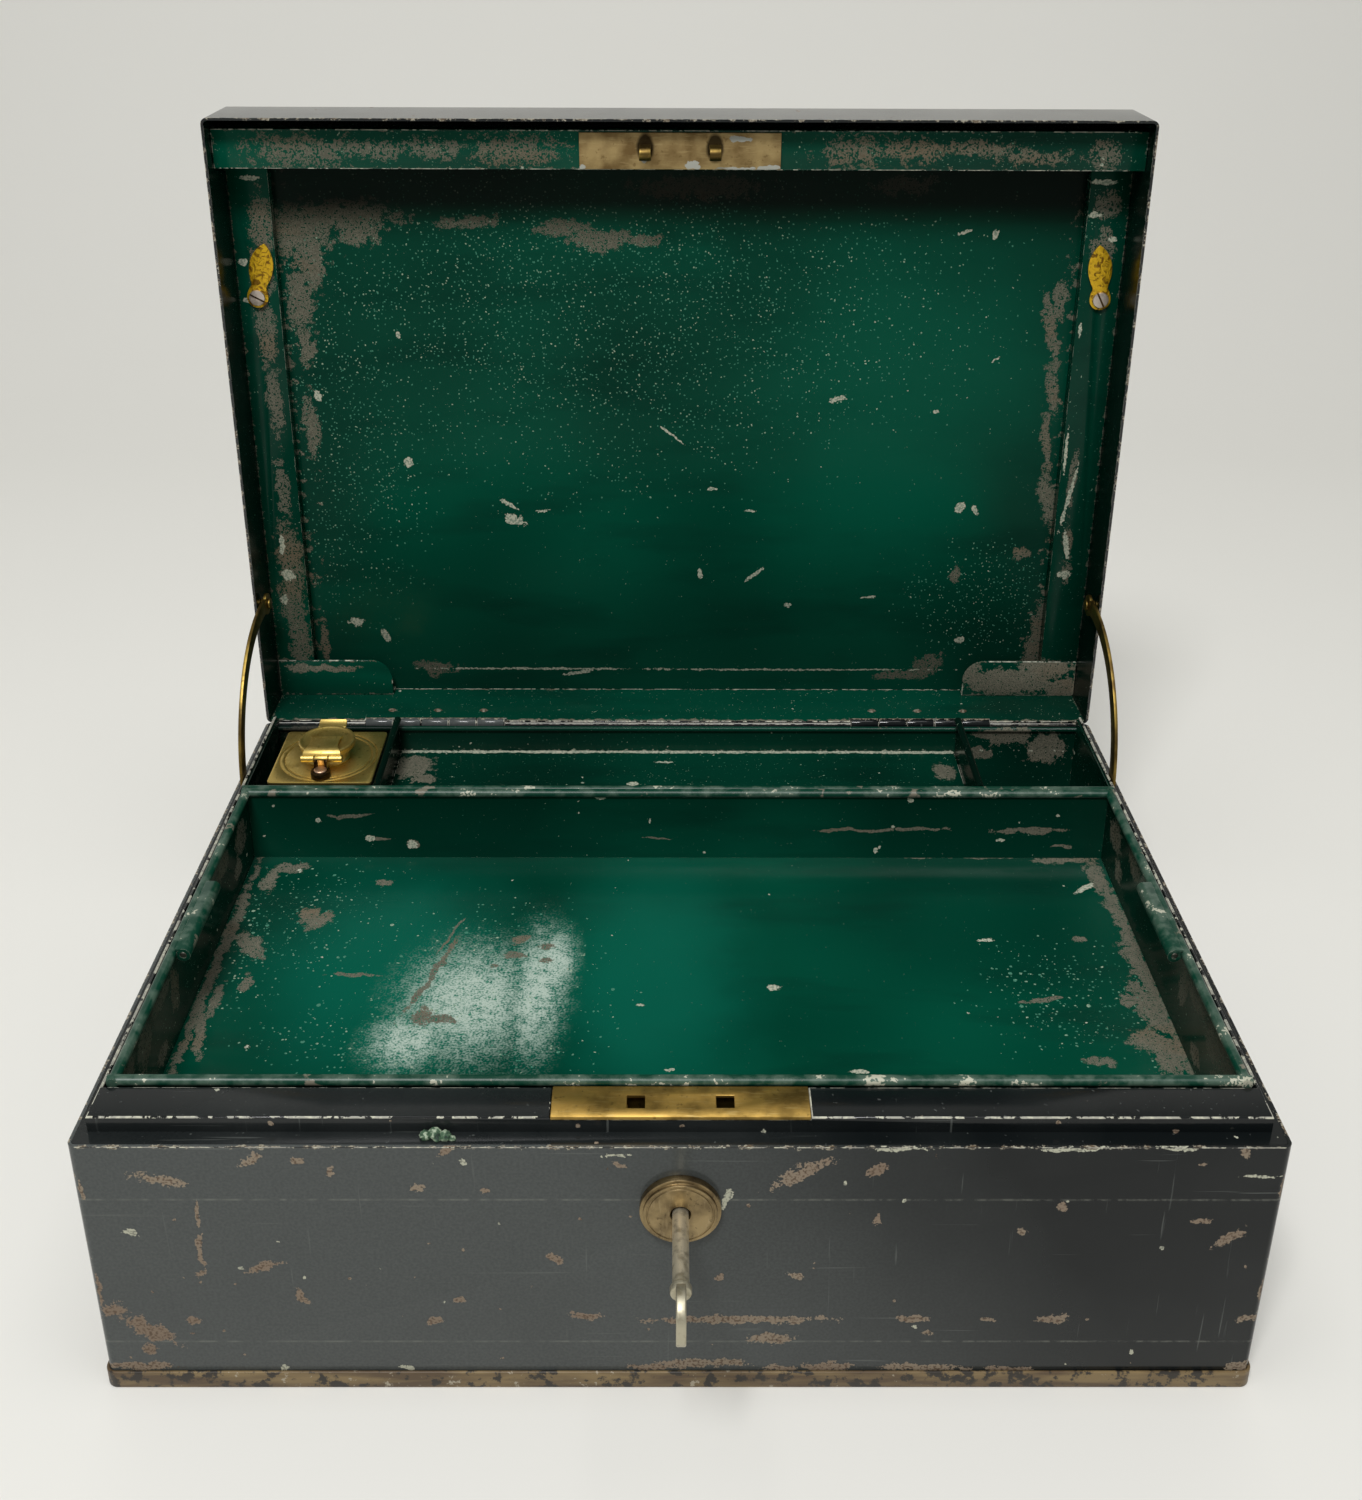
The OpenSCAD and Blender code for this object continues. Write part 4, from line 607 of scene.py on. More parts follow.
def aged_brass(metals, name, scratches, tarnish, gloss, colours=None, marks=None, grime_and_shadow=None):
    """Rolled brass, hand filed and long handled: brown in its hollows, olive and gold where
    it is rubbed, with fine scratches one way."""
    tree, point = new_finish(name)
    rubbed, brown, bright = [linear(code) for code in colours] if colours else (
        metals.brass, metals.brass_dark, linear("#b8a05c"))
    cloud = add(tree, "TexNoise", {"Vector": point, "Scale": 1 / 9, "Detail": 5.0})
    spots = add(tree, "TexNoise", {"Vector": point, "Scale": 1 / 1.6, "Detail": 4.0})
    along = add(tree, "Mapping", {"Vector": point, "Scale": scratches})
    lines = add(tree, "TexNoise", {"Vector": along, "Scale": 1 / 0.7, "Detail": 3.0})
    tarnished = (cloud, 0.62 - tarnish * 0.3, 0.86 - tarnish * 0.25)
    pits = (spots, 0.62, 0.7, 0.7)
    shine = (lines, 0.55, 0.75, 0.4)
    colour = laid_over(tree, rubbed, (tarnished, brown), (shine, bright), (pits, brown))
    metallic = 1.0
    if marks:
        face = drawing(tree, uneven(tree, point, 3.0, 2.2), "XZ")
        torn = ragged_inside(tree, nearest(tree, face, marks), spots, 1.2)
        colour = laid_over(tree, colour, (torn, linear("#a9aaa0")))
        metallic = add(tree, "Math", {0: 1.0, 1: torn}, operation="SUBTRACT")
    # Dark marks: grime together with a painted shadow, round the hook plate's staples.
    if grime_and_shadow:
        near = nearest(tree, drawing(tree, uneven(tree, point, 3.0, 0.8), "XZ"), grime_and_shadow)
        dirt_and_shadow = (near, 1.1, 0.8, 0.9)
        colour = laid_over(tree, colour, (dirt_and_shadow, linear("#1d160c")))
    rough = add(tree, "MapRange", {"Value": cloud, "To Min": gloss - 0.1, "To Max": gloss + 0.14})
    surface(tree, colour, rough, lines, 0.012 * MM, Metallic=metallic)


def gilt_brass(metals):
    """Stamped brass under gold lacquer: bright yellow on the high points, dark in the crinkles."""
    tree, point = new_finish("Gold lacquered stamped brass")
    crinkle = add(tree, "TexNoise", {"Vector": point, "Scale": 1 / 2.4, "Detail": 5.0, "Distortion": 1.2})
    hollow = (crinkle, 0.5, 0.62)
    colour = laid_over(tree, metals.gilt, (hollow, linear("#7a5608")))
    surface(tree, colour, 0.34, crinkle, 0.4 * MM, Metallic=0.6)


def dull_steel(name, colour_of, gloss=0.42):
    """Cut steel gone grey, with a little brown bloom and turning marks."""
    tree, point = new_finish(name)
    bloom = add(tree, "TexNoise", {"Vector": point, "Scale": 1 / 4, "Detail": 5.0})
    rings = add(tree, "TexNoise", {"Vector": add(tree, "Mapping", {
        "Vector": point, "Scale": (0.3, 2.4, 0.3)}), "Scale": 1 / 0.9, "Detail": 2.0})
    brown = (bloom, 0.5, 0.72, 0.7)
    colour = laid_over(tree, colour_of, (brown, linear("#6a5c46")))
    rough = add(tree, "MapRange", {"Value": bloom, "To Min": gloss - 0.14, "To Max": gloss + 0.12})
    surface(tree, colour, rough, rings, 0.02 * MM, Metallic=1.0)


def key_steel(metals):
    """A plated key: the bow and collar in the key's worn steel, the shank paler, with brown stains in
    places.
    """
    tree, point = new_finish("Worn plated steel key")
    split = add(tree, "SeparateXYZ", {0: point})
    handled = ((split, "Y"), -152.0, -158.0)
    spots = add(tree, "TexNoise", {"Vector": point, "Scale": 1 / 2.5, "Detail": 5.0})
    stained = (spots, 0.5, 0.66, 0.6)
    colour = laid_over(tree, linear("#e6dcc2"), (handled, metals.key), (stained, linear("#857a60")))
    surface(tree, colour, 0.46, spots, 0.03 * MM, Metallic=0.85)


def bottle_glass(metals):
    """Thick pressed glass, clouded inside by dried ink."""
    tree, point = new_finish("Pressed ink bottle glass")
    waves = add(tree, "TexNoise", {"Vector": point, "Scale": 1 / 12, "Detail": 2.0})
    stain = add(tree, "TexNoise", {"Vector": point, "Scale": 1 / 6, "Detail": 5.0})
    ink = (stain, 0.48, 0.7, 0.8)
    colour = laid_over(tree, metals.ink_glass, (ink, linear("#1c2a3c")))
    surface(tree, colour, 0.08, waves, 0.3 * MM, Transmission_Weight=0.7)


def crusted_verdigris():
    """A lump of green paint and copper salts dried hard on the ledge."""
    tree, point = new_finish("Crusted verdigris")
    lumps = add(tree, "TexNoise", {"Vector": point, "Scale": 1 / 1.4, "Detail": 4.0})
    colour = laid_over(tree, linear("#3e5a42"), ((lumps, 0.5, 0.6), linear("#9fae96")),
                       ((lumps, 0.42, 0.36), linear("#22352a")))
    surface(tree, colour, 0.7, lumps, 0.3 * MM)


# ---------------------------------------------------------------- modelling by hand

SHARP_ABOVE = math.radians(38)
SMOOTH_BELOW = math.radians(42)
FLAT_BELOW = math.radians(0.8)
MERGE_WITHIN = 0.002 * MM
LONG_EDGE = 4  # a long edge measures more than so many times its rounding
# How far the edges of the small fittings are rounded.
BEAD_ROUND, BOSS_ROUND, BOW_ROUND = 0.4 * MM, 0.3 * MM, 0.45 * MM
HINGE_ROUND, STAY_ROUND, RIVET_ROUND = 0.25 * MM, 0.25 * MM, 0.3 * MM
LEAF_ROUND, WIRE_ROUND, PIN_ROUND, BUTTON_ROUND = 0.3 * MM, 0.3 * MM, 0.15 * MM, 0.5 * MM


def deselect():
    if bpy.context.object and bpy.context.object.mode != "OBJECT":
        bpy.ops.object.mode_set(mode="OBJECT")
    bpy.ops.object.select_all(action="DESELECT")


def take(piece):
    """Makes one object the only one selected, and the active one."""
    deselect()
    bpy.context.view_layer.objects.active = piece
    piece.select_set(True)
    return piece


def in_edit(piece):
    take(piece)
    bpy.ops.object.mode_set(mode="EDIT")
    bpy.ops.mesh.select_all(action="SELECT")


def apply_all(piece):
    take(piece)
    for modifier in list(piece.modifiers):
        bpy.ops.object.modifier_apply(modifier=modifier.name)
    bpy.ops.object.transform_apply(location=True, rotation=True, scale=True)


def take_finishes(piece, names):
    """Gives a piece, or a construction node that is shown as it is, its finishes by name."""
    piece.data.materials.clear()
    for name in names:
        piece.data.materials.append(bpy.data.materials[name])


def soften(piece, radius, segments=2, crown=-1, edges="held"):
    """Rounds the sharp edges, whose faces may take a finish of their own, and smooths the
    shading. It takes all edges, only the long straight ones, or all of them held back to
    the length of the shortest, for outlines with short steps. A function of an edge's two
    ends picks among the long ones."""
    if radius:
        edge = piece.modifiers.new("Softened edges", "BEVEL")
        edge.material = crown
        edge.width = radius
        edge.segments = segments
        edge.limit_method = "ANGLE"
        edge.angle_limit = SHARP_ABOVE
        edge.harden_normals = False
        edge.use_clamp_overlap = edges == "held"
        if edges not in ("all", "held"):
            edge.limit_method = "WEIGHT"
            mesh = piece.data
            weights = mesh.attributes.new("bevel_weight_edge", "FLOAT", "EDGE")
            facing = {}
            for face in mesh.polygons:
                for key in face.edge_keys:
                    facing.setdefault(key, []).append(face.normal)
            for line in mesh.edges:
                start, end = (mesh.vertices[i].co for i in line.vertices)
                sides = facing.get(line.key, [])
                sharp = len(sides) == 2 and sides[0].angle(sides[1]) > SHARP_ABOVE
                chosen = sharp and (end - start).length > LONG_EDGE * radius and (
                    edges == "long" or edges(start, end))
                weights.data[line.index].value = float(chosen)
    apply_all(piece)
    bpy.ops.object.shade_smooth_by_angle(angle=SMOOTH_BELOW)
    return piece


def folded(node, name, radius, finishes, segments=2, crown=-1, edges="long"):
    """A copy of a construction node with its faces joined up and its edges rounded."""
    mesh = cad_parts[node].data.copy()
    piece = bpy.data.objects.new(name, mesh)
    take_finishes(piece, finishes)
    mesh.polygons.foreach_set("material_index", [0] * len(mesh.polygons))
    bpy.context.scene.collection.objects.link(piece)
    in_edit(piece)
    bpy.ops.mesh.customdata_custom_splitnormals_clear()
    bpy.ops.mesh.select_all(action="SELECT")
    bpy.ops.mesh.remove_doubles(threshold=MERGE_WITHIN)
    bpy.ops.mesh.dissolve_limited(angle_limit=FLAT_BELOW)
    deselect()
    return soften(piece, radius, segments, crown, edges)


def joined(name, *pieces):
    deselect()
    for piece in pieces:
        piece.select_set(True)
    bpy.context.view_layer.objects.active = pieces[0]
    if len(pieces) > 1:
        bpy.ops.object.join()
    pieces[0].name = name
    return pieces[0]


LATHE_TURNS = {
    "Z": (0, 0, 0), "Y": (-math.pi / 2, 0, 0), "-Y": (math.pi / 2, 0, 0), "X": (0, math.pi / 2, 0)}


def turned(name, steps, centre, axis="Z", segments=48):
    """A form turned on the lathe: steps are radius and height along the axis, in millimetres."""
    deselect()
    (radius, height), *rest = ((wide * MM, high * MM) for wide, high in steps)
    bpy.ops.mesh.primitive_circle_add(
        vertices=segments, radius=radius, fill_type="NGON", location=(0, 0, height))
    piece = bpy.context.object
    in_edit(piece)
    bpy.ops.mesh.select_mode(type="FACE")
    bpy.ops.mesh.select_all(action="SELECT")
    for wide, high in rest:
        bpy.ops.mesh.extrude_region_move()
        bpy.ops.transform.resize(value=(wide / radius, wide / radius, 1))
        bpy.ops.transform.translate(value=(0, 0, high - height))
        radius, height = wide, high
    bpy.ops.mesh.select_all(action="SELECT")
    bpy.ops.mesh.normals_make_consistent(inside=False)
    deselect()
    piece.name = name
    apply_all(piece)
    piece.rotation_euler = LATHE_TURNS[axis]
    apply_all(piece)
    piece.data.transform(Matrix.Translation(centre))
    bpy.ops.object.shade_smooth_by_angle(angle=SMOOTH_BELOW)
    return piece


def bent_sheet(name, path, centre=(0, 0, 0)):
    """A sheet bent along a path, whose points are y, z and half the sheet's width there."""
    deselect()
    bpy.ops.mesh.primitive_grid_add(x_subdivisions=1, y_subdivisions=len(path) - 1, size=1)
    piece = bpy.context.object
    levels = sorted({round(vertex.co.y, 4) for vertex in piece.data.vertices})
    for vertex in piece.data.vertices:
        y, z, half = path[levels.index(round(vertex.co.y, 4))]
        vertex.co = Vector(centre) + Vector((math.copysign(half, vertex.co.x), y, z))
    piece.name = name
    return piece


def thicken(piece, thickness):
    """Gives a sheet its thickness, half on each side."""
    sheet = piece.modifiers.new("Thickness", "SOLIDIFY")
    sheet.thickness = thickness
    sheet.offset = 0
    apply_all(piece)
    in_edit(piece)
    bpy.ops.mesh.normals_make_consistent(inside=False)
    deselect()
    return piece


def finish_piece(piece, body, finishes, stands_for=(), pick=None):
    """Gives a piece its finishes, hangs it on its body and hides the nodes it stands for."""
    piece.data.name = piece.name
    if not piece.data.materials:
        take_finishes(piece, finishes)
    if pick:
        for face in piece.data.polygons:
            if face.material_index == 0:
                face.material_index = int(pick(face))
    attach(piece, body)
    if stands_for:
        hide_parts(*stands_for)


def dress(node, name, body, slot, radius, *finishes, crown=-1, pick=None, segments=2, edges="long"):
    """Replaces a construction node by its softened and finished copy."""
    copy = folded(node, name, radius, finishes, segments, crown, edges)
    finish_piece(copy, body, finishes, [node], pick)


# Each brass: its name, how its scratches are squeezed along each axis, its tarnish and gloss, its
# rubbed, brown and bright colours where they aren't the panel's, and its whitened marks and its dark marks,
# which are grime together with a painted shadow.
BRASSES = (
    ("Aged brass, selvedge", (0.12, 1, 1), 0.7, 0.5, ("#c8a458", "#806836", "#dcc484")),
    ("Aged brass, hook plate", (0.12, 1, 1), 0.8, 0.55, ("#b8a070", "#826a44", "#d0bb88"), (
        (22.5, 341.8, 4.4, 1.1), (4.6, 332.2, 2.6, 1.5), (33.5, 331.2, 4.6, 1.1), (22, 331, 8, 0.6),
        (-37, 331.4, 1.2, 0.9), (-13.6, 334.4, 1.1, 1.6)), (
        # Grime and a painted shadow round the two staples.
        (-13.2, 338.6, 3.3, 5.6), (13.2, 338.6, 3.3, 5.6))),
    ("Browned brass, post", (1, 0.12, 1), 1.0, 0.4, ("#6a5534", "#33281a", "#8a7248")),
    ("Aged brass, fittings", (1, 1, 0.12), 0.5, 0.4, None),
    ("Bronzed brass, escutcheon", (1, 1, 0.2), 0.8, 0.42, ("#a08c66", "#584a36", "#b3a07c")),
    ("Polished brass, inkwell", (1, 0.3, 1), 0.3, 0.42, ("#d8bc6c", "#a08438", "#f0e0a0")),
    ("Tarnished brass, stays", (1, 0.2, 0.2), 1.0, 0.42, None),
    ("Worn pink plating", (1, 0.12, 1), 0.2, 0.4, ("#dcb494", "#9a7a58", "#f0dcc4")),
)


# ---------------------------------------------------------------- operators

class CASHBOX_OT_stage(bpy.types.Operator):
    """Set up the camera, lamps and the pale sweep"""

    bl_idname = "cashbox.stage"
    bl_label = "Studio"

    def execute(self, context):
        studio = context.scene.cashbox_studio
        scene = context.scene
        scene.view_settings.view_transform = "Standard"

        # The camera stands half a metre in front and looks down into the open box.
        place = -3.22 * MM, -489.18 * MM, 434.02 * MM
        pitch, yaw, roll = 0.4131, -0.0047, 0.0039
        right = Vector((math.cos(yaw), math.sin(yaw), 0))
        ahead = Vector((-math.sin(yaw), math.cos(yaw), 0))
        down = Vector((0, 0, -1))
        view = ahead * math.cos(pitch) + down * math.sin(pitch)
        up = ahead * math.sin(pitch) - down * math.cos(pitch)
        across = right * math.cos(roll) + up * math.sin(roll)
        over = up * math.cos(roll) - right * math.sin(roll)
        data = bpy.data.cameras.new("Camera")
        data.sensor_width = 36
        data.lens = 38.78
        data.shift_x = 0.0022
        data.shift_y = -0.1136
        data.clip_start = 0.01
        camera = bpy.data.objects.new("Camera", data)
        camera.matrix_world = Matrix((
            (across.x, over.x, -view.x, place[0]),
            (across.y, over.y, -view.y, place[1]),
            (across.z, over.z, -view.z, place[2]),
            (0, 0, 0, 1)))
        scene.collection.objects.link(camera)
        scene.camera = camera

        # A seamless sweep, in metres: floor, curve and wall in one sheet, just under the foot.
        front, bend, radius, top, half, gap = -2.2, 0.75, 0.7, 3.2, 2.6, 0.05 * MM
        quarter = [t * math.pi / 24 for t in range(1, 13)]
        path = [(front, 0), (bend, 0)] + [
            (bend + radius * math.sin(t), radius - radius * math.cos(t)) for t in quarter] + [
            (bend + radius, top)]
        sweep = bent_sheet("sweep", [(y, z - gap, half) for y, z in path])
        bpy.ops.object.shade_smooth()
        tree, point = new_finish("Painted sweep")
        cloud = add(tree, "TexNoise", {"Vector": point, "Scale": 1 / 260, "Detail": 2.0})
        colour = laid_over(tree, studio.sweep, (
            add(tree, "Math", {0: cloud, 1: 0.08}, operation="MULTIPLY"), linear("#cfcdc4")))
        surface(tree, colour, 0.85)
        sweep.data.materials.append(bpy.data.materials["Painted sweep"])

        world = bpy.data.worlds.new("Room")
        world.use_nodes = True
        world.node_tree.nodes.clear()
        light = add(world.node_tree, "Background", {"Color": linear("#f4f4f0"), "Strength": studio.sky})
        add(world.node_tree, "OutputWorld", {"Surface": light})
        scene.world = world

        for name, place, target, size, watts in (
                ("Front lamp", (-0.3, -1.15, 1.95), (0, 0.15, 0.25), (0.55, 0.4), studio.front_watts),
                ("Top lamp", (0, -0.3, 2.1), (0, 0, 0), (1.6, 0.8), studio.top_watts)):
            lamp = bpy.data.lights.new(name, "AREA")
            lamp.shape = "RECTANGLE"
            lamp.size, lamp.size_y = size
            lamp.energy = watts
            holder = bpy.data.objects.new(name, lamp)
            holder.location = place
            aim = Vector(target) - Vector(place)
            holder.rotation_euler = aim.to_track_quat("-Z", "Y").to_euler()
            scene.collection.objects.link(holder)
        return {"FINISHED"}


class CASHBOX_OT_finishes(bpy.types.Operator):
    """Mix the lacquers, brass, steel and glass"""

    bl_idname = "cashbox.finishes"
    bl_label = "Finishes"

    def execute(self, context):
        look, metals = context.scene.cashbox_lacquer, context.scene.cashbox_metals
        # The painted reflection is full on the case's front and faint on the lid and collar.
        black_japan(look, "Black japan, case", "case_shell", FRONT_CHIPS, FRONT_PALE, GILT_LINES, painted_reflection=1.0,
                    scuffed=0.012)
        black_japan(look, "Black japan, lid", "lid_shell", painted_reflection=0.1, gleam=0.55, scuffed=0.03)
        black_japan(look, "Black japan, collar", "rim_frame", edge_wear=0.1, painted_reflection=0.12, gleam=0.3)
        rubbed_fold("Rubbed fold in black japan", look.black, linear("#94928a"), 0.56)
        # Pale rubbed metal on the collar's upper edges: wear together with a painted highlight.
        rubbed_fold("Rubbed fold and painted highlight round the ledge", look.black, linear("#a09f94"), 0.56)
        rubbed_fold("Rubbed fold in green japan", look.green, linear("#8f9184"), 0.54)
        worn_roll(look, "Rubbed roll in green japan")
        # The panel's dark bands are painted shade: the shadow under the front channel and darkening towards
        # its foot. Its brighter patches are a painted reflection.
        green_japan(look, "Green japan, lid panel", "lid_shell", plans=[
            dict(axes="XZ", bare=PANEL_BARE, pale=PANEL_PALE, dust=PANEL_DUST)], edge_wear=0.0,
            shade_and_grime=(("Z", 304, 315, 0.88), ("Z", 190, 105, 0.45)), margin=(143.0, 166.0), gleam=0.05,
            ragged=4.4, mottled=0.59, kept=PANEL_REFLECTION)
        green_japan(look, "Green japan, lid walls", "lid_shell", edge_wear=0.8, chalky=0.4, shade_and_dark_lacquer=0.85)
        green_japan(look, "Green japan, front channel", "lid_front_channel", plans=[
            dict(axes="XZ", bare=CHANNEL_BARE)], ragged=6.0, chalky=0.9, mottled=0.64)
        green_japan(look, "Green japan, side channels", "lid_side_channel_left", "lid_side_channel_right",
                    plans=[dict(axes="XZ", bare=SIDE_BARE, pale=SIDE_PALE)], ragged=4.0, chalky=0.7,
                    mottled=0.62)
        for side in ("left", "right"):
            green_japan(look, side.capitalize() + " gusset, green japan", "lid_gusset_" + side, plans=[
                dict(axes="XZ", bare=GUSSET_BARE)], edge_wear=0.7, chalky=0.3)
        green_japan(look, "Green japan, back of lid", "lid_shell", edge_wear=2.0, chalky=0.8, shade_and_dark_lacquer=0.3)
        green_japan(look, "Green japan, tray", "tray_shell", plans=[
            dict(axes="XY", bare=FLOOR_BARE, pale=FLOOR_PALE, dust=FLOOR_DUST, bloom=FLOOR_BLOOM_AND_SHEEN)],
            ragged=4.0, gleam=0.2, mottled=0.58, kept=FLOOR_KEPT, brighter_colour="#0a5f4c")
        # The tray's walls, and most of all its end walls, take painted shade where they stand in shadow.
        green_japan(look, "Green japan, tray wall", "tray_shell", plans=[
            dict(axes="XZ", bare=TRAY_WALL_BARE, pale=TRAY_WALL_PALE)], edge_wear=0.8, chalky=0.5,
            shade_and_dark_lacquer=0.15)
        green_japan(look, "Green japan, tray ends", "tray_shell", plans=[
            dict(axes="YZ", bare=TRAY_END_BARE)], edge_wear=0.8, chalky=0.8, shade_and_dark_lacquer=0.6, mottled=0.62)
        # The till darkens towards its left end: painted shade together with grime.
        green_japan(look, "Green japan, till", "till_shell", plans=[
            dict(axes="XZ", bare=TILL_BARE), dict(axes="XY", bare=TILL_FLOOR_BARE, pale=TILL_FLOOR_PALE),
            dict(axes="YZ", pale=TILL_END_PALE)], edge_wear=0.8, chalky=0.6, shade_and_dark_lacquer=0.4,
            shade_and_grime=(("X", -112, -124, 0.75),))
        green_japan(look, "Green japan, dividers", "till_shell", edge_wear=0.8, chalky=0.6, shade_and_dark_lacquer=0.85)
        green_japan(look, "Green japan, inside of case", "case_shell", edge_wear=0.0, shade_and_dark_lacquer=0.4)
        rubbed_bead()
        for brass in BRASSES:
            aged_brass(metals, *brass)
        gilt_brass(metals)
        dull_steel("Dull steel", metals.steel)
        dull_steel("Pale plated screws", linear("#dccfc2"), gloss=0.5)
        key_steel(metals)
        bottle_glass(metals)
        crusted_verdigris()
        return {"FINISHED"}


class CASHBOX_OT_case(bpy.types.Operator):
    """Dress the case: walls, bottom, bead, ledge and collar"""

    bl_idname = "cashbox.case"
    bl_label = "Case"

    def execute(self, context):
        radius = context.scene.cashbox_edges.sheet
        black, inside = "Black japan, case", "Green japan, inside of case"
        fold = "Rubbed fold in black japan"

        def inward(face):
            """Whether a wall's face looks into the case."""
            out = Vector((face.center.x / CASE_HIGH.x, face.center.y / CASE_HIGH.y, 0))
            return abs(face.normal.z) < 0.5 and face.normal.dot(out) < 0

        dress("case_shell", "case_walls", "case", "black_japan", radius, black, inside, fold, crown=2,
              pick=inward)
        dress("base_plate", "case_bottom", "case", "black_japan", 0, black, inside,
              pick=lambda face: face.normal.z > 0.5)
        dress("base_bead", "foot_bead", "case", "worn_bead", BEAD_ROUND, "Rubbed japan bead", segments=4,
              edges="all")
        # The collar's upper edges take the pale fold: wear with a painted highlight along them.
        dress("rim_frame", "ledge_and_collar", "case", "black_japan", radius * 1.3,
              "Black japan, collar", "Rubbed fold and painted highlight round the ledge", crown=1, segments=3,
              edges=lambda start, end: min(start.z, end.z) > LEDGE_Z + 0.5 * MM)
        take_finishes(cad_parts["tray_bearers"], [inside])
        return {"FINISHED"}


class CASHBOX_OT_verdigris(bpy.types.Operator):
    """Add the crust on the front of the ledge"""

    bl_idname = "cashbox.verdigris"
    bl_label = "Verdigris"

    def execute(self, context):
        crust = []
        for *place, radius in CRUST_LUMPS:
            middle = Vector(place) * MM
            deselect()
            bpy.ops.mesh.primitive_ico_sphere_add(subdivisions=3, radius=radius * MM, location=middle)
            lump = context.object
            apply_all(lump)
            for vertex in lump.data.vertices:
                wave = math.prod(math.sin(along * often) for along, often in zip(vertex.co, CRUST_WAVES))
                vertex.co = middle + (vertex.co - middle) * (1 + 0.22 * wave)
                vertex.co.z = max(vertex.co.z, LEDGE_Z - 0.1 * MM)
            crust.append(lump)
        piece = joined("verdigris_crust", *crust)
        take(piece)
        bpy.ops.object.shade_smooth()
        finish_piece(piece, "case", ["Crusted verdigris"])
        return {"FINISHED"}


# Place and radius of each lump, in millimetres, and how often its skin waves along each axis.
CRUST_LUMPS = (
    (-71.6, -122.6, 96.8, 2.0), (-68.6, -123.2, 96.6, 1.8), (-74.4, -123, 96.5, 1.7),
    (-70.8, -124.0, 96.3, 1.1), (-66.4, -123.8, 96.2, 1.0),
)
CRUST_WAVES = (4100, 3300, 3900)


class CASHBOX_OT_till(bpy.types.Operator):
    """Dress the fixed till with its dividers and pen trough"""

    bl_idname = "cashbox.till"
    bl_label = "Till"

    def execute(self, context):
        radius = context.scene.cashbox_edges.sheet * 0.8
        green, fold = "Green japan, till", "Rubbed fold in green japan"
        roll_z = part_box("till_shell")[1].z - TILL_ROLL_HEIGHT
        dress("till_shell", "till_walls", "case", "green_japan", radius, green, fold,
              "Rubbed roll in green japan", crown=1, edges="held",
              pick=lambda face: 2 * (face.center.z > roll_z and face.center.y < TILL_ROLL_BACK))
        dress("pen_trough", "trough_sheet", "case", "green_japan", radius, green, fold, crown=1)
        for side, neighbour in (("left", "inkwell"), ("right", "well")):
            dress("till_divider_" + side, "divider_by_" + neighbour, "case", "green_japan", radius,
                  "Green japan, dividers", fold, crown=1)
        return {"FINISHED"}


TILL_ROLL_HEIGHT, TILL_ROLL_BACK = 3.2 * MM, 66 * MM


class CASHBOX_OT_lock(bpy.types.Operator):
    """Dress the lock: selvedge, escutcheon and works"""

    bl_idname = "cashbox.lock"
    bl_label = "Lock"

    def execute(self, context):
        edge = context.scene.cashbox_edges.plate
        dress("lock_selvedge", "selvedge_plate", "case", "brass", edge, "Aged brass, selvedge")
        dress("escutcheon", "keyhole_boss", "case", "brass", BOSS_ROUND, "Bronzed brass, escutcheon",
              segments=3, edges="held")
        for node in ("lock_case", "lock_bolt", "lock_curtain", "lock_levers"):
            take_finishes(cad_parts[node], ["Aged brass, fittings"])
        for node in ("lock_lever_post", "lock_spring"):
            take_finishes(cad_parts[node], ["Dull steel"])
        return {"FINISHED"}


class CASHBOX_OT_key(bpy.types.Operator):
    """File the key's flat bow, warded bit and shank and turn its collar"""

    bl_idname = "cashbox.key"
    bl_label = "Key"

    def execute(self, context):
        plated = ["Worn plated steel key"]
        bow = folded("key", "filed_bow", BOW_ROUND, plated, 3, edges="all")
        moulding = turned("moulded_collar", KEY_COLLAR, KEY_COLLAR_PLACE, "-Y")
        take_finishes(moulding, plated)
        finish_piece(joined("filed_key", bow, moulding), "key", plated, ["key"])
        return {"FINISHED"}


KEY_COLLAR = (
    (2.3, -2.1), (2.46, -1.9), (2.6, -1.5), (2.95, -1.2), (3.08, -0.9), (3.08, 0.8), (2.9, 1.15),
    (2.6, 1.25), (1.5, 1.3),
)
KEY_COLLAR_PLACE = (0, -158 * MM, 73.6 * MM)


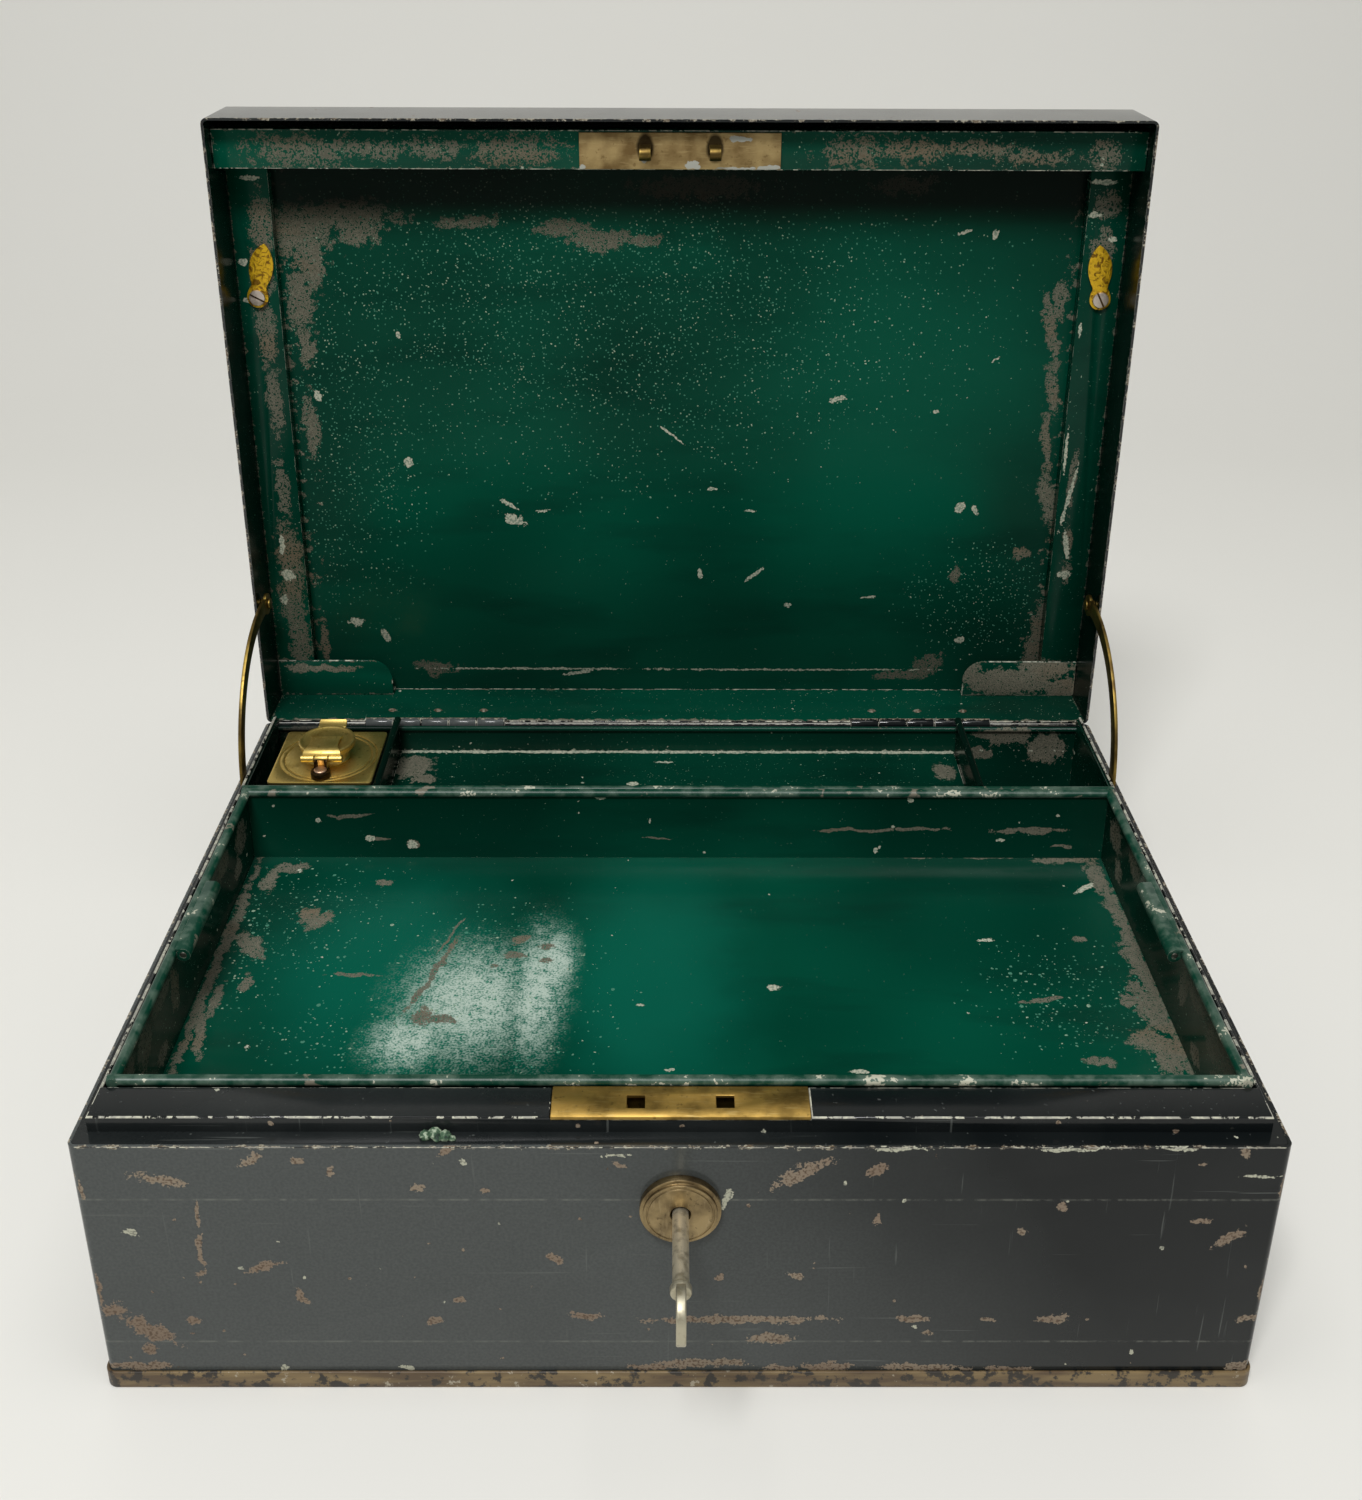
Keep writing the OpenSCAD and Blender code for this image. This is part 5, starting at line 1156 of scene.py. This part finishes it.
class CASHBOX_OT_lid(bpy.types.Operator):
    """Dress the lid: shell, panel, channels and gussets"""

    bl_idname = "cashbox.lid"
    bl_label = "Lid"

    def execute(self, context):
        radius = context.scene.cashbox_edges.sheet
        panel_y = LID_HIGH.y - 1.5 * MM

        def inward(face):
            """1 for the panel that looks out of the open lid, 2 for the inside of its back wall and
            4 for the insides of its other walls."""
            if face.normal.y < -0.5 and face.center.y > panel_y:
                return 1
            if abs(face.normal.x) > 0.5:
                return 4 if face.normal.x * face.center.x < 0 else 0
            if abs(face.normal.z) < 0.5:
                return 0
            low_wall = face.center.z < (LID_LOW.z + LID_HIGH.z) / 2
            return (2 if low_wall else 4) if (face.normal.z > 0) == low_wall else 0

        black_fold, green_fold = "Rubbed fold in black japan", "Rubbed fold in green japan"
        dress("lid_shell", "lid_walls", "lid", "black_japan", radius, "Black japan, lid",
              "Green japan, lid panel", "Green japan, back of lid", black_fold,
              "Green japan, lid walls", crown=3, pick=inward)
        dress("lid_front_channel", "front_channel_sheet", "lid", "green_japan", radius,
              "Green japan, front channel", green_fold, crown=1)
        for side in ("left", "right"):
            dress("lid_side_channel_" + side, side + "_channel_sheet", "lid", "green_japan", radius,
                  "Green japan, side channels", green_fold, crown=1, edges="held")
            dress("lid_gusset_" + side, side + "_gusset_sheet", "lid", "green_japan", radius,
                  side.capitalize() + " gusset, green japan", green_fold, crown=1)
        return {"FINISHED"}


class CASHBOX_OT_hooks(bpy.types.Operator):
    """Dress the hook plate and its two bent staples"""

    bl_idname = "cashbox.hooks"
    bl_label = "Hook plate"

    def execute(self, context):
        edge = context.scene.cashbox_edges.plate
        dress("hook_plate", "hook_plate_brass", "lid", "brass", edge, "Aged brass, hook plate")
        dress("hook_staples", "bent_staples", "lid", "brass", edge, "Tarnished brass, stays", segments=3,
              edges="all")
        return {"FINISHED"}


class CASHBOX_OT_hinges(bpy.types.Operator):
    """Dress the hinges and set their domed rivets"""

    bl_idname = "cashbox.hinges"
    bl_label = "Hinges"

    def execute(self, context):
        black = "Black japan, case"
        for body in ("case", "lid"):
            dress("hinge_%s_leaves" % body, body + "_leaves", body, "black_japan", HINGE_ROUND, black,
                  "Rubbed fold in black japan", crown=1, edges="all")
        take_finishes(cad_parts["hinge_pins"], ["Dull steel"])
        for body in ("case", "lid"):
            node = "hinge_%s_rivets" % body
            low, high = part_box(node)
            domes = [turned("rivet", RIVET, (x * MM, low.y, (low.z + high.z) / 2), "Y", 24)
                     for x in RIVETS_ACROSS]
            finish_piece(joined(body + "_rivet_domes", *domes), body, [black], [node])
        return {"FINISHED"}


RIVETS_ACROSS = (-125, -105, -85, 85, 105, 125)
# Radius and height of a hinge rivet, from its clenched end inside to the dome outside.
RIVET = (
    (1.38, 0.02), (1.38, 2.2), (2.5, 2.22), (2.46, 2.5), (2.2, 2.8), (1.6, 3.0), (0.8, 3.09), (0.05, 3.1),
)


class CASHBOX_OT_stays(bpy.types.Operator):
    """Dress the two quadrant stays and their rivets"""

    bl_idname = "cashbox.stays"
    bl_label = "Stays"

    def execute(self, context):
        brass = "Tarnished brass, stays"
        for side in ("left", "right"):
            dress("stay_" + side, side + "_quadrant", "stay_" + side, "brass", STAY_ROUND, brass,
                  edges="held")
        dress("stay_rivets", "quadrant_rivets", "lid", "brass", RIVET_ROUND, brass, segments=3,
              edges="all")
        return {"FINISHED"}


class CASHBOX_OT_turn_buttons(bpy.types.Operator):
    """Stamp the two leaf-shaped turn buttons and set their slotted screws"""

    bl_idname = "cashbox.turn_buttons"
    bl_label = "Turn buttons"

    def execute(self, context):
        shadow_brown = "Browned brass, post"
        head_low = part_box("turn_button_screws")[0].y
        slot_floor = head_low + 0.3 * MM
        screws = []
        for name, side, lean, slot_turn in TURN_BUTTONS:
            low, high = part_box("turn_button_" + name)
            eye = Vector((side * SCREW_OUT, (low.y + high.y) / 2, SCREW_UP))
            deselect()
            bpy.ops.mesh.primitive_circle_add(vertices=96, radius=1, fill_type="NGON")
            leaf = context.object
            in_edit(leaf)
            bpy.ops.mesh.inset(thickness=0.16)
            bpy.ops.mesh.inset(thickness=0.3)
            deselect()
            (foot, _), (tip, _) = LEAF[0], LEAF[-1]
            for vertex in leaf.data.vertices:
                reach = math.hypot(vertex.co.x, vertex.co.y)
                turn = math.atan2(vertex.co.x, vertex.co.y)
                up = foot + (tip - foot) * (1 + math.cos(turn)) / 2
                for (a, wide_a), (b, wide_b) in zip(LEAF, LEAF[1:]):
                    if a <= up <= b:
                        wide = wide_a + (wide_b - wide_a) * (up - a) / (b - a)
                across = math.copysign(wide, vertex.co.x) if abs(vertex.co.x) > 1e-6 else 0
                height = LEAF_MIDDLE + (up - LEAF_MIDDLE) * reach
                vertex.co = Vector((across * reach, (reach - 1) * LEAF_CROWN, height)) * MM
            thicken(leaf, LEAF_THICKNESS)
            # The leaf's rounded rim takes the browned brass, a painted shadow outlining the leaf.
            gilt = ["Gold lacquered stamped brass", shadow_brown]
            take_finishes(leaf, gilt)
            soften(leaf, LEAF_ROUND, crown=1)
            tilt = Matrix.Rotation(math.radians(-side * lean), 4, "Y")
            leaf.data.transform(Matrix.Translation(eye) @ tilt)
            leaf.name = name + "_turn_leaf"
            finish_piece(leaf, "turn_button_" + name, gilt, ["turn_button_" + name])

            screw = turned("screw", SCREW, (0, 0, 0), "Y", 40)
            deselect()
            bpy.ops.mesh.primitive_cube_add(size=1)
            cutter = context.object
            cutter.scale = SCREW_SLOT
            cutter.rotation_euler = (0, math.radians(slot_turn), 0)
            apply_all(cutter)
            groove = screw.modifiers.new("Slot", "BOOLEAN")
            groove.object = cutter
            apply_all(screw)
            bpy.data.objects.remove(cutter)
            screw.data.transform(Matrix.Translation((eye.x, head_low, eye.z)))
            screws.append(screw)
        # The floor of each screw's slot takes the browned brass: painted shade in the slot.
        finish_piece(joined("slotted_screws", *screws), "lid", ["Pale plated screws", shadow_brown],
                     ["turn_button_screws"],
                     pick=lambda face: face.normal.y < -0.9 and face.center.y > slot_floor)
        return {"FINISHED"}


# Each button's name and side, how far it leans from upright, and the turn of its screw's slot, in degrees.
TURN_BUTTONS = (("left", -1, 12, 28), ("right", 1, 6, 62))
SCREW_OUT, SCREW_UP = 169 * MM, 277 * MM
SCREW_SLOT = (8 * MM, 1.2 * MM, 0.75 * MM)
# Height above its screw and half width, in millimetres, of a leaf from its eye to its point.
LEAF = (
    (-4.2, 0), (-3.8, 1.8), (-2.9, 3.05), (-1.5, 3.95), (0, 4.2), (1.5, 3.95), (2.9, 3.15), (3.9, 2.75),
    (5.2, 2.95), (7.4, 3.8), (10, 4.5), (12.4, 4.7), (14.8, 4.5), (17.3, 3.75), (19.5, 2.5), (21, 1.25),
    (22, 0),
)
LEAF_MIDDLE, LEAF_CROWN = 9.3, 0.7
LEAF_THICKNESS = 0.9 * MM
# Radius and height of a screw, from the crown of its head to its clenched end.
SCREW = (
    (2.4, 0.0), (3.0, 0.12), (3.2, 0.4), (3.2, 0.7), (3.1, 0.98), (1.24, 1.0), (1.24, 5.6), (0.9, 5.75),
)


class CASHBOX_OT_tray(bpy.types.Operator):
    """Dress the lift-out tray and its rolled lips"""

    bl_idname = "cashbox.tray"
    bl_label = "Tray"

    def execute(self, context):
        radius = context.scene.cashbox_edges.sheet
        fold, roll = "Rubbed fold in green japan", "Rubbed roll in green japan"
        roll_low, floor_high = TRAY_HIGH.z - 3.5 * MM, TRAY_LOW.z + 3 * MM

        def part_of_tray(face):
            """0 for the floor, 1 for the long walls, 3 for the end walls and 4 for the rolled rim."""
            if face.center.z > roll_low:
                return 4
            if abs(face.normal.z) > 0.9 and face.center.z < floor_high:
                return 0
            return 3 if abs(face.normal.x) > 0.5 else 1

        dress("tray_shell", "tray_sheet", "tray", "green_japan", radius, "Green japan, tray",
              "Green japan, tray wall", fold, "Green japan, tray ends", roll, crown=2,
              pick=part_of_tray, edges="held")
        for side in ("left", "right"):
            dress("lift_lip_" + side, side + "_lip_roll", "tray", "green_japan", radius * 0.7, roll, fold,
                  crown=1, edges="held")
        dress("lift_lip_wires", "lip_wire_ends", "tray", "steel", WIRE_ROUND, "Dull steel", segments=3,
              edges="all")
        return {"FINISHED"}


class CASHBOX_OT_inkwell(bpy.types.Operator):
    """Turn the inkwell's neck and cap and bend its strap"""

    bl_idname = "cashbox.inkwell"
    bl_label = "Inkwell"

    def execute(self, context):
        edge = context.scene.cashbox_edges.plate
        brass = "Polished brass, inkwell"
        low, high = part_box("inkwell_plate")
        centre = Vector(((low.x + high.x) / 2, (low.y + high.y) / 2, 0))
        plate_top = high.z
        dress("inkwell_plate", "inkwell_top_plate", "inkwell", "brass", edge, brass, edges="all")
        take_finishes(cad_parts["inkwell_bottle"], ["Pressed ink bottle glass"])

        # The neck: a turned ring with a moulded foot, open through the middle.
        neck = turned("moulded_neck", NECK, (centre.x, centre.y, plate_top), "Z", 64)
        finish_piece(neck, "inkwell", [brass], ["inkwell_neck"])
        dress("inkwell_post", "button_post", "inkwell", "brass", edge, "Browned brass, post", brass,
              pick=lambda face: face.center.y > POST_BRACKET_Y, edges="all")
        dress("inkwell_hinge_pin", "barrel_pin", "inkwell", "steel", PIN_ROUND, "Aged brass, fittings",
              edges="all")
        dress("inkwell_button", "thumb_button", "inkwell_button", "brass", BUTTON_ROUND,
              "Worn pink plating", segments=3, edges="all")

        foot = Vector((centre.x, centre.y, plate_top + CAP_UP))
        cap_pieces = [turned("cap", CAP, foot, "Z", 72)]
        # The strap is waisted, bent up over the rim of the disc and stands a little off it.
        for name, path, thickness, radius, segments in (
                ("strap", STRAP, 0.8, 0.15, 2), ("tab", TAB, 1.0, 0.25, 3)):
            strip = bent_sheet(name, [[size * MM for size in step] for step in path], foot)
            cap_pieces.append(soften(thicken(strip, thickness * MM), radius * MM, segments))
        pin = Vector((centre.x, centre.y - PIN_FORWARD, plate_top + PIN_UP))
        for start, end in BARRELS:
            cap_pieces.append(turned("barrel", (
                (1.25, start), (1.48, start + 0.25), (1.48, end - 0.25), (1.25, end)), pin, "X", 28))
        cap = joined("hinged_cap", *cap_pieces)
        take(cap)
        bpy.ops.object.shade_smooth_by_angle(angle=SMOOTH_BELOW)
        finish_piece(cap, "inkwell_cap", [brass], ["inkwell_cap"])
        return {"FINISHED"}


# Radius and height of the neck's and the cap's outlines, in millimetres.
NECK = (
    (6, 0.05), (8.9, 0.05), (8.95, 0.5), (8.5, 0.9), (8.2, 1.3), (8.2, 4.2), (8.6, 4.6), (8.6, 4.9),
    (6.1, 4.9), (6.0, 0.06),
)
CAP = (
    (9.0, 0), (10.6, 0.02), (10.9, 0.3), (10.9, 1.3), (11.2, 1.6), (11.3, 2.0), (11.3, 2.7), (11.1, 3.1),
    (10.6, 3.2), (10.1, 3.02), (9.6, 2.75), (6, 2.9), (3, 3.0), (0.05, 3.05),
)
# The cap's foot and its hinge pin above the plate, the pin in front of the cap's middle, and
# where its two barrels start and end along it.
CAP_UP, PIN_UP, PIN_FORWARD = 5.1 * MM, 6 * MM, 12.1 * MM
BARRELS = ((-8.3, -2.92), (2.92, 8.3))
# The post's bright bracket begins here; the rest of the post is browned.
POST_BRACKET_Y = 73.9 * MM
# Way back from the cap's middle, height above its foot and half width of its strap and thumb tab.
STRAP = (
    (-11.6, 1.9, 7.6), (-11.3, 2.55, 7.6), (-10.9, 3.15, 7.4), (-10.2, 3.65, 7.0), (-8.4, 3.85, 6.3),
    (-6.4, 3.95, 5.8), (-4.4, 4.0, 5.7), (-2.4, 4.05, 5.8), (-0.9, 4.1, 6.1), (0.2, 4.15, 6.6),
)
TAB = ((10.4, 2.4, 5.7), (12.2, 2.5, 5.7), (13.4, 2.85, 5.7), (14.4, 3.4, 5.6), (15.0, 4.0, 5.3))


class CASHBOX_PT_panel(bpy.types.Panel):
    """Lists the makers of the box's pieces"""

    bl_idname = "CASHBOX_PT_panel"
    bl_label = "Cash Box"
    bl_space_type = "VIEW_3D"
    bl_region_type = "UI"
    bl_category = "Cash Box"

    def draw(self, context):
        for group in ("cashbox_lacquer", "cashbox_metals", "cashbox_edges", "cashbox_studio"):
            box = self.layout.box()
            settings = getattr(context.scene, group)
            for name in settings.__annotations__:
                box.prop(settings, name)
        for operator in OPERATORS:
            self.layout.operator(operator.bl_idname)


OPERATORS = (
    CASHBOX_OT_stage, CASHBOX_OT_finishes, CASHBOX_OT_case, CASHBOX_OT_verdigris, CASHBOX_OT_till,
    CASHBOX_OT_lock, CASHBOX_OT_key, CASHBOX_OT_lid, CASHBOX_OT_hooks, CASHBOX_OT_hinges,
    CASHBOX_OT_stays, CASHBOX_OT_turn_buttons, CASHBOX_OT_tray, CASHBOX_OT_inkwell,
)
GROUPS = {
    "cashbox_lacquer": CashBoxLacquer, "cashbox_metals": CashBoxMetals,
    "cashbox_edges": CashBoxEdges, "cashbox_studio": CashBoxStudio,
}


def register():
    for group in GROUPS.values():
        bpy.utils.register_class(group)
    for name, group in GROUPS.items():
        setattr(bpy.types.Scene, name, bpy.props.PointerProperty(type=group))
    for operator in OPERATORS + (CASHBOX_PT_panel,):
        bpy.utils.register_class(operator)


def unregister():
    for operator in reversed(OPERATORS + (CASHBOX_PT_panel,)):
        bpy.utils.unregister_class(operator)
    for name, group in reversed(GROUPS.items()):
        delattr(bpy.types.Scene, name)
        bpy.utils.unregister_class(group)


def main():
    register()
    for operator in OPERATORS:
        family, name = operator.bl_idname.split(".")
        getattr(getattr(bpy.ops, family), name)()


if __name__ == "__main__":
    main()
